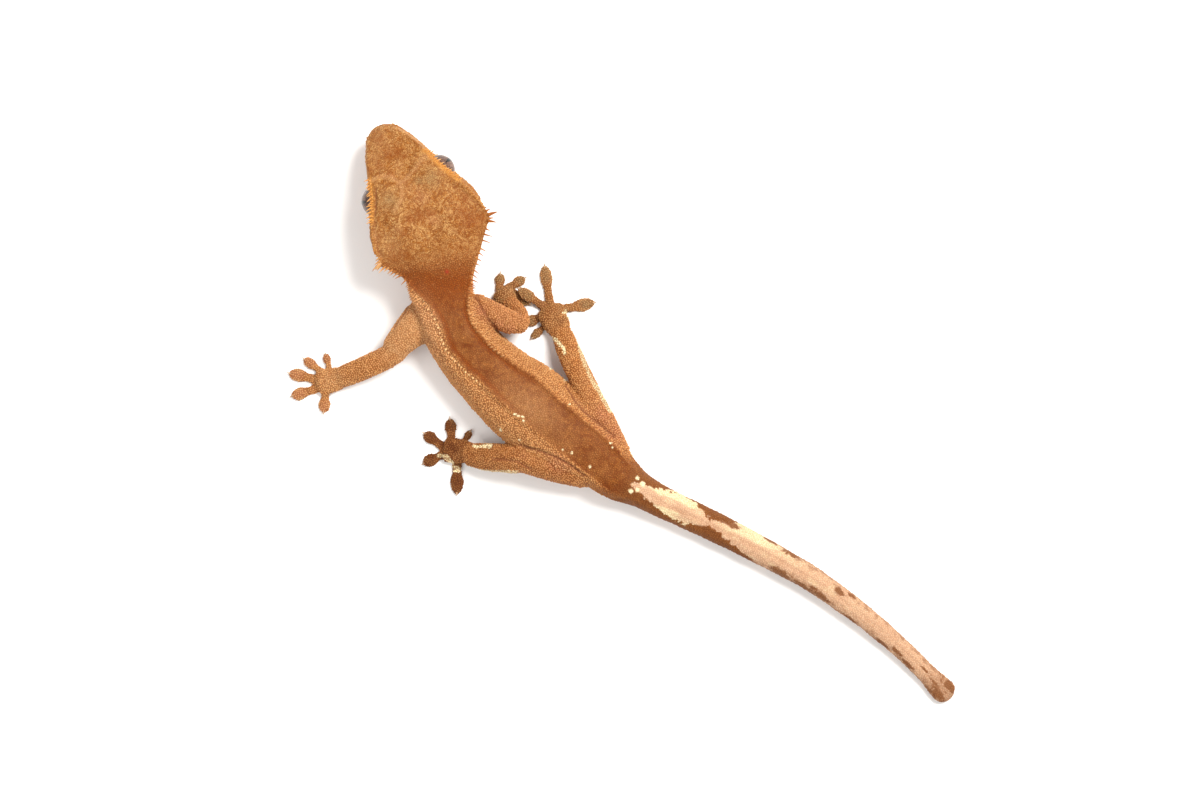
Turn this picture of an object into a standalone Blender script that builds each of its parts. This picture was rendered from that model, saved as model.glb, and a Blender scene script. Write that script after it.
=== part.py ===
"""Crested gecko, a life-size still model lying flat on a floor.

Sizes are in millimetres and become metres when a mesh is made. The snout points
towards +Y, the tail towards -Y and +Z is up. The body is one smooth loft along a
gently bent path, cut into named lengths. A place on it is given by its distance
from the snout along that path, its side (+1 the animal's left, -1 its right) and
its height. Legs are tapered tubes that stop 0.3 mm short of the body.
"""
import math
import random
from bisect import bisect_right

import bmesh
import bpy
from mathutils import Vector

MM = 0.001
GAP = 0.3
SEED = 11
LEFT = 1
RIGHT = -1

# Path of the body's middle line, seen from above, from the snout to the tail's end
BODY_PATH = (
    (7.2, 79.8), (3.2, 66.2), (-1.2, 53.2), (-2.6, 49.9), (-5.2, 46.2), (-8.9, 42.1), (-12.5, 34.8),
    (-13.6, 26.3), (-13.4, 18.5), (-12.4, 9.5), (-11.2, 0.5), (-9.8, -8.8), (-9.2, -15.6),
    (-7.6, -22.0), (-5.6, -28.0), (-0.6, -41.6), (5.3, -60.2), (8.2, -74.5), (9.7, -89.5),
    (9.9, -105.3),
)

# Distances from the snout along the path
EYES_AT = 15.6
CORNERS_AT = 29.7
HEAD_END = 34.5
NECK_END = 42.5
CHEST_END = 72.0
VENT_AT = 103.0
TAIL_THIRD = 132.0
TAIL_TWO_THIRDS = 163.0

# Body sizes against distance from the snout
HALF_WIDTH = ((0, 3.5), (2, 4.25), (3.2, 4.85), (4.6, 5.7), (7.6, 7.0), (12, 8.55), (15, 9.7), (20, 12.2),
              (23, 13.35), (25.5, 13.6), (28.5, 12.4), (31, 10.7), (35, 8.2), (38, 6.95), (42, 6.85),
              (50, 7.4), (62, 8.4), (75, 9.8), (85, 9.0), (94, 6.9), (101, 5.4), (108, 3.9), (128, 3.45),
              (150, 3.0), (184, 2.35), (190, 2.95), (193, 2.7))
TOP = ((0, 9.8), (4, 12.0), (14, 16.4), (23, 17.6), (30, 16.6), (41, 13.2), (50, 12.7), (70, 13.4),
       (88, 12.0), (101, 9.5), (113, 7.0), (150, 5.8), (184, 3.8), (193, 2.8))
UNDERSIDE = ((0, 4.8), (6, 3.9), (20, 3.3), (32, 2.5), (46, 0.2), (52, -0.5), (193, -0.5))
WIDEST_HEIGHT = ((0, 7.6), (14, 8.6), (26, 8.4), (44, 5.8), (75, 5.4), (100, 4.8), (113, 3.4), (150, 2.7),
                 (193, 1.3))

# Crest ridges as shares of the half-width and of the height above the widest line
CREST_OUT = ((0, 0.9), (11, 0.89), (18, 0.9), (23, 0.92), (26, 0.985), (28.5, 1.1), (29.7, 1.18),
             (30.4, 1.125), (31.4, 1.06), (33, 1.02), (41, 0.92), (50, 0.69), (75, 0.57), (86, 0.6),
             (97, 0.71), (113, 0.6), (193, 0.6))
CREST_UP = ((0, 0.83), (9, 0.9), (14, 0.93), (23, 0.79), (28, 0.78), (36, 0.86), (94, 0.87), (113, 0.8),
            (193, 0.8))
WAIST_OUT = ((0, 0.92), (14, 0.95), (26, 0.98), (33, 1.02), (44, 0.95), (60, 0.9), (193, 0.88))
EYE_DOME = ((9, 0.0), (15, 0.9), (21, 0.0))
LIP_GROOVE = ((0, 0.4), (17, 0.4), (21, 0.0))

# Skin bunched up on the left, where the head turns on the neck, as a share of the size outwards
LEFT_FULLNESS = ((26.5, 1.0), (28.5, 0.96), (29.7, 0.985), (31.5, 1.235), (33, 1.39), (35, 1.38),
                 (36.3, 1.34), (37.8, 1.28), (39, 1.12), (41, 1.08), (43, 1.0))

# Ends of the body loft
SNOUT_ROUNDING = 3.2
TAIL_ROUNDING = 2.2
SNOUT_MOUTH_HEIGHT = 7.0
TAIL_END_HEIGHT = 1.1

# Head openings
EYE_RADIUS = 3.6
EYE_OUT = 7.7
EYE_HEIGHT = 11.3
NOSTRIL_AT = 1.9
NOSTRIL_OUT = 3.65
NOSTRIL_HEIGHT = 8.6
NOSTRIL_RADIUS = 0.6
EAR_AT = 25.5
EAR_OUT = 12.7
EAR_HEIGHT = 8.8
EAR_RADII = (0.9, 1.3, 1.6)

# Knobs beside the vent
SPUR_AT = 99.5
SPUR_OUT = 5.3
SPUR_HEIGHT = 2.6
SPUR_RADII = (1.0, 0.9, 0.9)


def smooth_curve(knots):
    """Monotone smooth function through (position, value) knots."""
    places = [knot[0] for knot in knots]
    values = [knot[1] for knot in knots]
    steps = [after - before for before, after in zip(places, places[1:])]
    rises = [(after - before) / step for before, after, step in zip(values, values[1:], steps)]
    slopes = [rises[0]]
    for before, after, rise, next_rise in zip(steps, steps[1:], rises, rises[1:]):
        if rise * next_rise <= 0:
            slopes.append(0.0)
        else:
            first, second = 2 * after + before, after + 2 * before
            slopes.append((first + second) / (first / rise + second / next_rise))
    slopes.append(rises[-1])

    def value(place):
        place = min(max(place, places[0]), places[-1])
        index = min(bisect_right(places, place) - 1, len(steps) - 1)
        return hermite(values[index], values[index + 1], slopes[index] * steps[index],
                       slopes[index + 1] * steps[index], (place - places[index]) / steps[index])

    return value


def hermite(start, end, start_slope, end_slope, share):
    square, cube = share ** 2, share ** 3
    return (start * (2 * cube - 3 * square + 1) + start_slope * (cube - 2 * square + share)
            + end * (3 * square - 2 * cube) + end_slope * (cube - square))


def smooth_path(points):
    """Curve through points, read by distance along it, and its length."""
    points = [Vector(point) for point in points]
    lengths = [0.0]
    for before, after in zip(points, points[1:]):
        lengths.append(lengths[-1] + (after - before).length)
    tangents = []
    for index in range(len(points)):
        before, after = max(index - 1, 0), min(index + 1, len(points) - 1)
        tangents.append((points[after] - points[before]) / (lengths[after] - lengths[before]))

    def place(distance):
        distance = min(max(distance, 0.0), lengths[-1])
        index = min(bisect_right(lengths, distance) - 1, len(points) - 2)
        step = lengths[index + 1] - lengths[index]
        return hermite(points[index], points[index + 1], tangents[index] * step,
                       tangents[index + 1] * step, (distance - lengths[index]) / step)

    return place, lengths[-1]


body_place, BODY_LENGTH = smooth_path([(x, y, 0.0) for x, y in BODY_PATH])
half_width = smooth_curve(HALF_WIDTH)
top_height = smooth_curve(TOP)
underside = smooth_curve(UNDERSIDE)
widest_height = smooth_curve(WIDEST_HEIGHT)
crest_out = smooth_curve(CREST_OUT)
crest_up = smooth_curve(CREST_UP)
waist_out = smooth_curve(WAIST_OUT)
eye_dome = smooth_curve(EYE_DOME)
lip_groove = smooth_curve(LIP_GROOVE)
left_fullness = smooth_curve(LEFT_FULLNESS)


def mix(start, end, share):
    return start + (end - start) * share


def body_axes(distance):
    """Point on the middle line and the directions forward and to the left there."""
    step = 0.2
    forward = (body_place(distance - step) - body_place(distance + step)).normalized()
    return body_place(distance), forward, Vector((-forward.y, forward.x, 0.0))


def on_body(distance, side, out, height):
    """Point at a distance from the snout, a way out to one side, at a height."""
    place, _, left = body_axes(distance)
    return place + left * side * out + Vector((0, 0, height))


def half_section(distance, swell=0.0):
    """Half outline of the body across, as (out, height) from the back to the belly."""
    wide = half_width(distance) + swell
    middle = widest_height(distance)
    top = top_height(distance) + swell
    low = underside(distance) - swell
    crest = crest_out(distance) * half_width(distance) + swell
    crest_height = mix(middle, top, crest_up(distance))
    waist = waist_out(distance) * wide
    waist_height = mix(middle, crest_height, 0.55)
    dome = eye_dome(distance)
    groove = lip_groove(distance)
    points = [
        (0.0, top),
        (0.42 * crest, mix(top, crest_height, 0.15) + 0.4 * dome),
        (0.8 * crest, mix(top, crest_height, 0.8) + dome),
        (crest, crest_height),
        (mix(crest, waist, 0.55), mix(crest_height, waist_height, 0.4)),
        (waist, waist_height),
        (wide, middle),
    ]
    for degrees, inset in ((9, 0.0), (16, groove), (23, 0.1 * groove), (46, 0.0), (70, 0.0)):
        angle = math.radians(degrees)
        points.append((wide * math.cos(angle) - inset, mix(middle, low, math.sin(angle))))
    points.append((0.0, low))
    return points


def fullness(distance, side):
    return left_fullness(distance) if side == LEFT else 1.0


def end_rounding(distance):
    """Share of the full section left close to the snout and close to the tail's end."""
    for depth, reach in ((distance, SNOUT_ROUNDING), (BODY_LENGTH - distance, TAIL_ROUNDING)):
        if depth < reach:
            return max(1 - (1 - depth / reach) ** 2.2, 0.0) ** (1 / 2.2)
    return 1.0


def body_ring(distance, place, left, swell=0.0):
    """Closed ring of points round the body, at a place with its own left direction."""
    half = half_section(distance, swell)
    share = end_rounding(distance)
    pole = SNOUT_MOUTH_HEIGHT if distance < BODY_LENGTH / 2 else TAIL_END_HEIGHT
    whole = [(LEFT * out * fullness(distance, LEFT), height) for out, height in half]
    whole += [(RIGHT * out, height) for out, height in reversed(half[1:-1])]
    ring = []
    for out, height in whole:
        height = mix(pole, height, share)
        if not swell:
            height = max(height, 0.0)
        ring.append(place + left * out * share + Vector((0, 0, height)))
    return ring


def body_rings(start, end, spacing, swell=0.0):
    """Rings of one length of body, whose end faces lie half a gap inside its two cuts."""
    first = SNOUT_ROUNDING if start == 0 else start
    last = end - TAIL_ROUNDING if end == BODY_LENGTH else end
    count = max(round((last - first) / spacing), 2)
    stations = [mix(first, last, index / count) for index in range(count + 1)]
    if start == 0:
        stations = [SNOUT_ROUNDING * share for share in (0.025, 0.12, 0.3, 0.6)] + stations
    if end == BODY_LENGTH:
        stations += [end - TAIL_ROUNDING * share for share in (0.55, 0.22, 0.04)]
    rings = []
    for distance in stations:
        place, forward, left = body_axes(distance)
        if distance == start:
            place = place - forward * GAP / 2
        if distance == end:
            place = place + forward * GAP / 2
        rings.append(body_ring(distance, place, left, swell))
    return rings


def mesh_object(name, rings, first_tip=None, last_tip=None):
    """Closed, triangulated loft through rings, with a flat face or a tip at each end."""
    shape = bmesh.new()
    rows = [[shape.verts.new(point * MM) for point in ring] for ring in rings]
    for row, next_row in zip(rows, rows[1:]):
        for index in range(len(row)):
            after = (index + 1) % len(row)
            shape.faces.new((row[index], row[after], next_row[after], next_row[index]))
    for row, tip in ((rows[0], first_tip), (rows[-1], last_tip)):
        if tip is None:
            shape.faces.new(row)
            continue
        point = shape.verts.new(tip * MM)
        for index in range(len(row)):
            shape.faces.new((row[index], row[(index + 1) % len(row)], point))
    bmesh.ops.triangulate(shape, faces=shape.faces)
    bmesh.ops.recalc_face_normals(shape, faces=shape.faces)
    return finished_object(name, shape)


def finished_object(name, shape):
    mesh = bpy.data.meshes.new(name)
    shape.to_mesh(mesh)
    shape.free()
    thing = bpy.data.objects.new(name, mesh)
    bpy.context.scene.collection.objects.link(thing)
    return thing


def ball(name, centre, radii, along=None, segments=16):
    """Ellipsoid; its first radius lies along the given direction."""
    shape = bmesh.new()
    bmesh.ops.create_uvsphere(shape, u_segments=segments, v_segments=segments * 5 // 8, radius=1.0)
    turn = Vector((1, 0, 0)).rotation_difference(along or Vector((1, 0, 0)))
    for vertex in shape.verts:
        scaled = Vector([part * radius for part, radius in zip(vertex.co, radii)])
        vertex.co = (turn @ scaled + centre) * MM
    bmesh.ops.triangulate(shape, faces=shape.faces)
    return finished_object(name, shape)


def tube(name, points, sizes, sides=12, spacing=2.2, swell=0.0):
    """Round-ended tube through points, with a (half width, half height) at each point."""
    place, length = smooth_path(points)
    marks = [0.0]
    for before, after in zip(points, points[1:]):
        marks.append(marks[-1] + (Vector(after) - Vector(before)).length)
    wide = smooth_curve(list(zip(marks, [size[0] for size in sizes])))
    tall = smooth_curve(list(zip(marks, [size[1] for size in sizes])))
    count = max(round(length / spacing), 2)
    ends = {0: min(sizes[0]) * 0.8, 1: min(sizes[-1]) * 0.8}
    stations = [mix(ends[0], length - ends[1], index / count) for index in range(count + 1)]
    stations = [0.3 * ends[0]] + stations + [length - 0.3 * ends[1]]
    rings = []
    for distance in stations:
        ahead = (place(min(distance + 0.1, length)) - place(max(distance - 0.1, 0))).normalized()
        across = ahead.cross(Vector((0, 0, 1))).normalized()
        upward = across.cross(ahead)
        share = 1.0
        for depth, reach in ((distance, ends[0]), (length - distance, ends[1])):
            if depth < reach:
                share = math.sqrt(1 - (1 - depth / reach) ** 2)
        ring = []
        for index in range(sides):
            angle = 2 * math.pi * index / sides
            out = across * math.cos(angle) * (wide(distance) + swell) * share
            rise = upward * math.sin(angle) * (tall(distance) + swell) * share
            ring.append(place(distance) + out + rise)
        rings.append(ring)
    return mesh_object(name, rings, place(0), place(length))


def floor_block():
    """Block under the floor, which cuts a flat underside."""
    shape = bmesh.new()
    bmesh.ops.create_cube(shape, size=300 * MM)
    bmesh.ops.translate(shape, verts=shape.verts, vec=(0, 0, -150 * MM))
    return finished_object("floor_block", shape)


def cone(name, root, tip, radius, sides=4):
    """Pointed spine from a root ring, sunk below the skin, to its tip."""
    ahead = (tip - root).normalized()
    across = ahead.cross(Vector((0.31, 0.17, 0.93))).normalized()
    upward = across.cross(ahead)
    ring = []
    for index in range(sides):
        angle = 2 * math.pi * index / sides
        ring.append(root + (across * math.cos(angle) + upward * math.sin(angle)) * radius)
    return mesh_object(name, [ring], None, tip)


def drop(thing):
    mesh = thing.data
    bpy.data.objects.remove(thing)
    bpy.data.meshes.remove(mesh)


def keep_largest(mesh):
    """Leave only the closed surface with the most faces."""
    shape = bmesh.new()
    shape.from_mesh(mesh)
    waiting = set(shape.faces)
    islands = []
    while waiting:
        island, edge = set(), [waiting.pop()]
        while edge:
            face = edge.pop()
            island.add(face)
            for side in face.edges:
                for other in side.link_faces:
                    if other in waiting:
                        waiting.discard(other)
                        edge.append(other)
        islands.append(island)
    largest = max(islands, key=len)
    scraps = [face for island in islands if island is not largest for face in island]
    bmesh.ops.delete(shape, geom=scraps, context="FACES")
    bmesh.ops.triangulate(shape, faces=shape.faces)
    shape.to_mesh(mesh)
    shape.free()


def is_closed(mesh):
    """True if every edge has two faces."""
    shape = bmesh.new()
    shape.from_mesh(mesh)
    closed = all(len(edge.link_faces) == 2 for edge in shape.edges)
    shape.free()
    return closed


def combine(thing, others, operation):
    """Apply one Boolean of closed solids to a thing and drop the solids."""
    if not others:
        return thing
    group = bpy.data.collections.new("operands")
    bpy.context.scene.collection.children.link(group)
    for other in others:
        group.objects.link(other)
    modifier = thing.modifiers.new("combine", "BOOLEAN")
    modifier.operation = operation
    modifier.operand_type = "COLLECTION"
    modifier.collection = group
    for solver in ("EXACT", "MANIFOLD"):
        modifier.solver = solver
        bpy.context.view_layer.update()
        evaluated = thing.evaluated_get(bpy.context.evaluated_depsgraph_get())
        mesh = bpy.data.meshes.new_from_object(evaluated)
        keep_largest(mesh)
        if is_closed(mesh):
            break
    thing.modifiers.clear()
    thing.data = mesh
    for other in others:
        drop(other)
    bpy.data.collections.remove(group)
    return thing


def join(thing, others):
    return combine(thing, others, "UNION")


def cut(thing, others):
    return combine(thing, others, "DIFFERENCE")


def body_length(name, start, end, spacing=2.6):
    """One length of the body between two cuts, less half the gap at each inner cut."""
    rings = body_rings(start, end, spacing)
    place, _, _ = body_axes(0)
    first_tip = place + Vector((0, 0, SNOUT_MOUTH_HEIGHT)) if start == 0 else None
    place, _, _ = body_axes(BODY_LENGTH)
    last_tip = place + Vector((0, 0, TAIL_END_HEIGHT)) if end == BODY_LENGTH else None
    return mesh_object(name, rings, first_tip, last_tip)


def swollen_body():
    """The whole body, larger by the gap, which cuts the legs clear of it."""
    place, _, _ = body_axes(0)
    tips = [place + Vector((0, 0, SNOUT_MOUTH_HEIGHT))]
    place, _, _ = body_axes(BODY_LENGTH)
    tips.append(place + Vector((0, 0, TAIL_END_HEIGHT)))
    return mesh_object("swollen_body", body_rings(0, BODY_LENGTH, 3.0, GAP), *tips)


def head():
    """Wedge-shaped head with a crest from brow to corner, lips, nostrils, ears and sockets."""
    thing = body_length("head", 0, HEAD_END, 2.2)
    pits = []
    for side in (LEFT, RIGHT):
        _, forward, _ = body_axes(EAR_AT)
        pits.append(ball("socket", on_body(EYES_AT, side, EYE_OUT, EYE_HEIGHT), [EYE_RADIUS + GAP] * 3))
        pits.append(ball("nostril", on_body(NOSTRIL_AT, side, NOSTRIL_OUT, NOSTRIL_HEIGHT),
                         [NOSTRIL_RADIUS] * 3, segments=8))
        pits.append(ball("ear", on_body(EAR_AT, side, EAR_OUT, EAR_HEIGHT), EAR_RADII, forward, 10))
    return cut(thing, pits)


def eye(name, side):
    return ball(name, on_body(EYES_AT, side, EYE_OUT, EYE_HEIGHT), [EYE_RADIUS] * 3)


def spurs():
    """Low round knobs, one on each side of the vent."""
    _, forward, _ = body_axes(SPUR_AT)
    return [ball("spur", on_body(SPUR_AT, side, SPUR_OUT, SPUR_HEIGHT), SPUR_RADII, forward, 10)
            for side in (LEFT, RIGHT)]


def leg_length(name, points, sizes, neighbours, **options):
    """One length of a leg, cut clear of the body and of the lengths it meets."""
    thing = tube(name, points, sizes, **options)
    return cut(thing, [swollen_body()] + neighbours)


# Toe outline from knuckle to tip, as shares of its length and of its pad's width
TOE_SHARES = ((0.0, 0.72), (0.28, 0.66), (0.58, 1.0), (0.8, 0.86), (1.0, 0.3))
TOE_SHAFT_HEIGHT = 0.6
PAD_HEIGHT = 0.5
CLAW_RADIUS = 0.32


def foot(name, palm, palm_size, toes, neighbours):
    """Palm and five toes with leaf-shaped pads and a claw beyond each."""
    thing = tube(name, palm, palm_size, sides=10, spacing=1.6)
    pieces = []
    for base, tip, pad_width, claw_length, raise_by in toes:
        base, tip = Vector((*base, 0.0)), Vector((*tip, 0.0))
        middle = (Vector(palm[0]) + Vector(palm[-1])) / 2
        inner = mix(base, Vector((middle.x, middle.y, 0.0)), 0.55)
        points = [(inner.x, inner.y, 0.55)]
        sizes = [(0.9, TOE_SHAFT_HEIGHT)]
        for share, width in TOE_SHARES:
            at = mix(base, tip, share)
            points.append((at.x, at.y, 0.45 + raise_by * min(1.0, share * 1.6)))
            sizes.append((width * pad_width / 2, mix(TOE_SHAFT_HEIGHT, PAD_HEIGHT, share)))
        pieces.append(tube("toe", points, sizes, sides=8, spacing=1.5))
        ahead = (tip - base).normalized()
        root = tip - ahead * 0.6 + Vector((0, 0, 0.55 + raise_by))
        claw_tip = tip + ahead * claw_length + Vector((0, 0, 0.3 + raise_by))
        pieces.append(cone("claw", root, claw_tip, CLAW_RADIUS))
    return cut(join(thing, pieces), neighbours + [floor_block()])


# Legs, as points along each length and (half width, half height) at each point; a
# lower length starts inside the upper one, which cuts a socket in it
UPPER_ARM_LEFT = (((-13.8, 41.0, 5.8), (-19.8, 41.3, 6.4), (-27.4, 41.1, 6.2)),
                  ((5.6, 4.0), (4.1, 3.3), (2.6, 2.5)))
FOREARM_LEFT = (((-22.8, 40.0, 6.4), (-27.4, 40.7, 6.0), (-32.6, 42.5, 4.8), (-39.6, 45.4, 2.2)),
                ((2.4, 2.3), (2.6, 2.4), (2.7, 2.3), (2.5, 1.6)))
UPPER_ARM_RIGHT = (((-6.8, 36.6, 6.2), (-4.0, 31.2, 7.6), (-1.5, 24.6, 8.6)),
                   ((3.8, 3.4), (3.0, 3.0), (2.5, 2.5)))
FOREARM_RIGHT = (((-2.4, 25.0, 9.0), (-0.6, 25.6, 6.6), (0.5, 27.4, 4.5), (0.6, 31.0, 2.2)),
                 ((2.2, 2.2), (2.3, 2.3), (2.1, 2.0), (1.8, 1.4)))
THIGH_LEFT = (((-12.6, -11.6, 5.2), (-17.4, -4.4, 6.2), (-23.6, 5.6, 7.6)),
              ((3.5, 3.5), (3.6, 3.5), (2.9, 2.8)))
SHANK_LEFT = (((-21.6, 1.4, 7.6), (-24.1, 4.9, 6.4), (-27.3, 8.4, 4.7), (-31.0, 13.2, 2.2)),
              ((2.8, 2.6), (3.3, 2.8), (3.2, 2.4), (2.3, 1.5)))
THIGH_RIGHT = (((-6.8, -13.8, 5.2), (-3.8, -5.4, 6.2), (-0.2, 5.4, 7.4)),
               ((3.3, 3.5), (3.3, 3.5), (2.7, 2.8)))
SHANK_RIGHT = (((-1.3, 0.9, 7.4), (-0.1, 5.0, 6.3), (2.0, 11.2, 4.6), (4.9, 18.4, 2.2)),
               ((2.6, 2.6), (2.8, 2.8), (2.8, 2.4), (2.3, 1.5)))

# Palms, then toes one to five: (base, tip, pad width, claw length, height above the floor)
HAND_LEFT = (((-37.4, 44.5, 2.4), (-40.2, 45.8, 1.7), (-44.0, 48.0, 1.1)),
             ((2.2, 1.5), (2.8, 1.5), (3.1, 1.1)),
             (((-39.5, 48.6), (-37.7, 51.8), 2.1, 0.4, 0.0),
              ((-41.3, 49.4), (-42.1, 54.4), 2.6, 0.6, 0.0),
              ((-43.6, 49.2), (-46.9, 54.4), 3.3, 0.6, 0.0),
              ((-45.3, 47.6), (-50.2, 50.1), 3.2, 0.6, 0.0),
              ((-43.8, 45.4), (-47.6, 42.2), 3.1, 0.6, 0.0)))
HAND_RIGHT = (((0.7, 28.6, 2.8), (0.7, 31.2, 1.7), (1.3, 34.2, 1.1)),
              ((1.8, 1.4), (2.3, 1.4), (2.6, 1.1)),
              (((-0.9, 32.6), (-3.7, 33.6), 2.1, 0.4, 0.0),
               ((1.1, 34.3), (4.0, 36.8), 2.7, 0.6, 0.0),
               ((3.0, 33.2), (7.3, 32.1), 2.8, 0.6, 0.0),
               ((3.0, 31.4), (3.9, 27.0), 2.7, 0.6, 0.0),
               ((-0.9, 31.0), (-3.9, 28.7), 2.6, 0.6, 0.0)))
FOOT_LEFT = (((-28.8, 11.0, 2.8), (-31.0, 13.8, 1.8), (-33.6, 17.0, 1.1)),
             ((2.2, 1.5), (2.8, 1.5), (3.1, 1.1)),
             (((-29.2, 14.9), (-26.1, 15.7), 2.0, 0.4, 0.0),
              ((-31.0, 17.0), (-27.6, 21.1), 3.0, 0.5, 0.0),
              ((-33.4, 18.0), (-34.3, 22.9), 3.2, 0.6, 0.0),
              ((-34.6, 16.2), (-39.4, 17.9), 3.2, 0.6, 0.0),
              ((-33.6, 12.6), (-38.7, 7.4), 3.4, 0.6, 0.0)))
FOOT_RIGHT = (((4.2, 16.0, 2.9), (5.0, 19.3, 1.8), (6.4, 23.8, 1.2)),
              ((2.1, 1.5), (3.0, 1.5), (3.4, 1.2)),
              (((3.4, 21.1), (-1.5, 21.1), 2.2, 0.4, 0.0),
               ((4.2, 22.8), (-0.3, 24.8), 3.0, 0.6, 0.0),
               ((5.6, 24.8), (4.4, 31.4), 2.9, 0.6, 1.6),
               ((8.0, 25.0), (12.5, 31.1), 3.1, 0.6, 0.0),
               ((8.6, 20.8), (14.8, 16.9), 3.3, 0.6, 0.0)))

# Spines: rows of (start, end, spacing, length, root radius) along the crest
LASHES = (11.0, 19.4, 0.93, 1.5, 0.28)
CORNER_SPINES = (26.8, 33.6, 1.05, 1.2, 0.34)
NECK_SPINES = (35.2, 41.9, 1.15, 1.1, 0.34)
CHEST_SPINES = (43.2, 71.4, 1.5, 0.85, 0.4)
LOIN_SPINES = (73.0, 97.0, 1.9, 0.8, 0.4)
CORNER_BOOST = 0.9
CORNER_REACH = 2.2

COLOURS = {
    "skin": (0.52, 0.27, 0.10),
    "tail": (0.80, 0.58, 0.40),
    "eye": (0.05, 0.03, 0.03),
}


def crest_place(distance, side):
    """Point on the crest's edge and the direction straight out from it."""
    crest = crest_out(distance) * half_width(distance) * fullness(distance, side)
    middle = widest_height(distance)
    height = mix(middle, top_height(distance), crest_up(distance))
    _, _, left = body_axes(distance)
    lean = mix(0.9, 0.15, min(max((46 - distance) / 18, 0.0), 1.0))
    outward = (left * side + Vector((0, 0, lean))).normalized()
    return on_body(distance, side, crest, height), outward


def crest_spines(row, dice, sweep):
    """Cones along both crests, leaning back by the given share of their length."""
    start, end, spacing, length, radius = row
    count = round((end - start) / spacing)
    spines = []
    for side in (LEFT, RIGHT):
        for index in range(count + 1):
            distance = mix(start, end, index / count) + dice.uniform(-0.15, 0.15) * spacing
            edge, outward = crest_place(distance, side)
            _, forward, _ = body_axes(distance)
            near_corner = max(1 - abs(distance - CORNERS_AT) / CORNER_REACH, 0.0)
            reach = length * dice.uniform(0.8, 1.15) + CORNER_BOOST * near_corner
            lie = (outward - forward * sweep * dice.uniform(0.6, 1.4)).normalized()
            spines.append(cone("spine", edge - lie * 0.8, edge + lie * reach, radius))
    return spines


def coloured(thing, colour, roughness):
    material = bpy.data.materials.new(thing.name)
    material.use_nodes = True
    shader = material.node_tree.nodes["Principled BSDF"]
    shader.inputs["Base Color"].default_value = (*COLOURS[colour], 1.0)
    shader.inputs["Roughness"].default_value = roughness
    thing.data.materials.clear()
    thing.data.materials.append(material)
    thing.data.shade_smooth()
    thing.data.set_sharp_from_angle(angle=math.radians(35))


def build_body():
    dice = random.Random(SEED)
    skull = head()
    join(skull, crest_spines(LASHES, dice, 0.2) + crest_spines(CORNER_SPINES, dice, 0.5))
    eye("eye_left", LEFT)
    eye("eye_right", RIGHT)
    join(body_length("neck", HEAD_END, NECK_END), crest_spines(NECK_SPINES, dice, 0.4))
    join(body_length("torso_front", NECK_END, CHEST_END), crest_spines(CHEST_SPINES, dice, 0.5))
    join(body_length("torso_rear", CHEST_END, VENT_AT), crest_spines(LOIN_SPINES, dice, 0.5) + spurs())
    body_length("tail_base", VENT_AT, TAIL_THIRD, 3.2)
    body_length("tail_middle", TAIL_THIRD, TAIL_TWO_THIRDS, 3.4)
    body_length("tail_tip", TAIL_TWO_THIRDS, BODY_LENGTH, 3.0)


def build_leg(names, lengths, limb_end):
    """Two leg lengths and the hand or foot beyond them, each clear of the one before."""
    upper_name, lower_name, end_name = names
    upper, lower = lengths
    leg_length(upper_name, *upper, [])
    leg_length(lower_name, *lower, [tube("clear", *upper, swell=GAP)])
    palm, palm_size, toes = limb_end
    foot(end_name, palm, palm_size, toes, [tube("clear", *lower, swell=GAP)])


def centre_on_floor():
    """Move everything so that the origin is the middle of the box's bottom face."""
    things = [thing for thing in bpy.data.objects if thing.type == "MESH"]
    points = [vertex.co for thing in things for vertex in thing.data.vertices]
    low = Vector([min(point[axis] for point in points) for axis in range(3)])
    high = Vector([max(point[axis] for point in points) for axis in range(3)])
    shift = Vector(((low.x + high.x) / 2, (low.y + high.y) / 2, low.z))
    for thing in things:
        for vertex in thing.data.vertices:
            vertex.co -= shift


def main():
    for thing in list(bpy.data.objects):
        bpy.data.objects.remove(thing)
    build_body()
    build_leg(("upper_arm_left", "forearm_left", "hand_left"), (UPPER_ARM_LEFT, FOREARM_LEFT), HAND_LEFT)
    build_leg(("upper_arm_right", "forearm_right", "hand_right"), (UPPER_ARM_RIGHT, FOREARM_RIGHT),
              HAND_RIGHT)
    build_leg(("thigh_left", "shank_left", "foot_left"), (THIGH_LEFT, SHANK_LEFT), FOOT_LEFT)
    build_leg(("thigh_right", "shank_right", "foot_right"), (THIGH_RIGHT, SHANK_RIGHT), FOOT_RIGHT)
    for thing in bpy.data.objects:
        if thing.name.startswith("eye"):
            coloured(thing, "eye", 0.1)
        elif thing.name.startswith("tail"):
            coloured(thing, "tail", 0.7)
        else:
            coloured(thing, "skin", 0.7)
    centre_on_floor()


main()
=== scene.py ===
"""Crested gecko: the finished surface of the life-size model.

Sizes are in millimetres, in the frame that the solids are drawn in, and become metres in
the row's frame when a mesh is made. One skin covers the body and legs. Granular scales,
spines, lip plates and claws are joined meshes on it, coloured by the same markings.
"""
import math
import random
from bisect import bisect_right

import bpy
import numpy as np
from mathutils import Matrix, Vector
from mathutils.bvhtree import BVHTree


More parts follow.
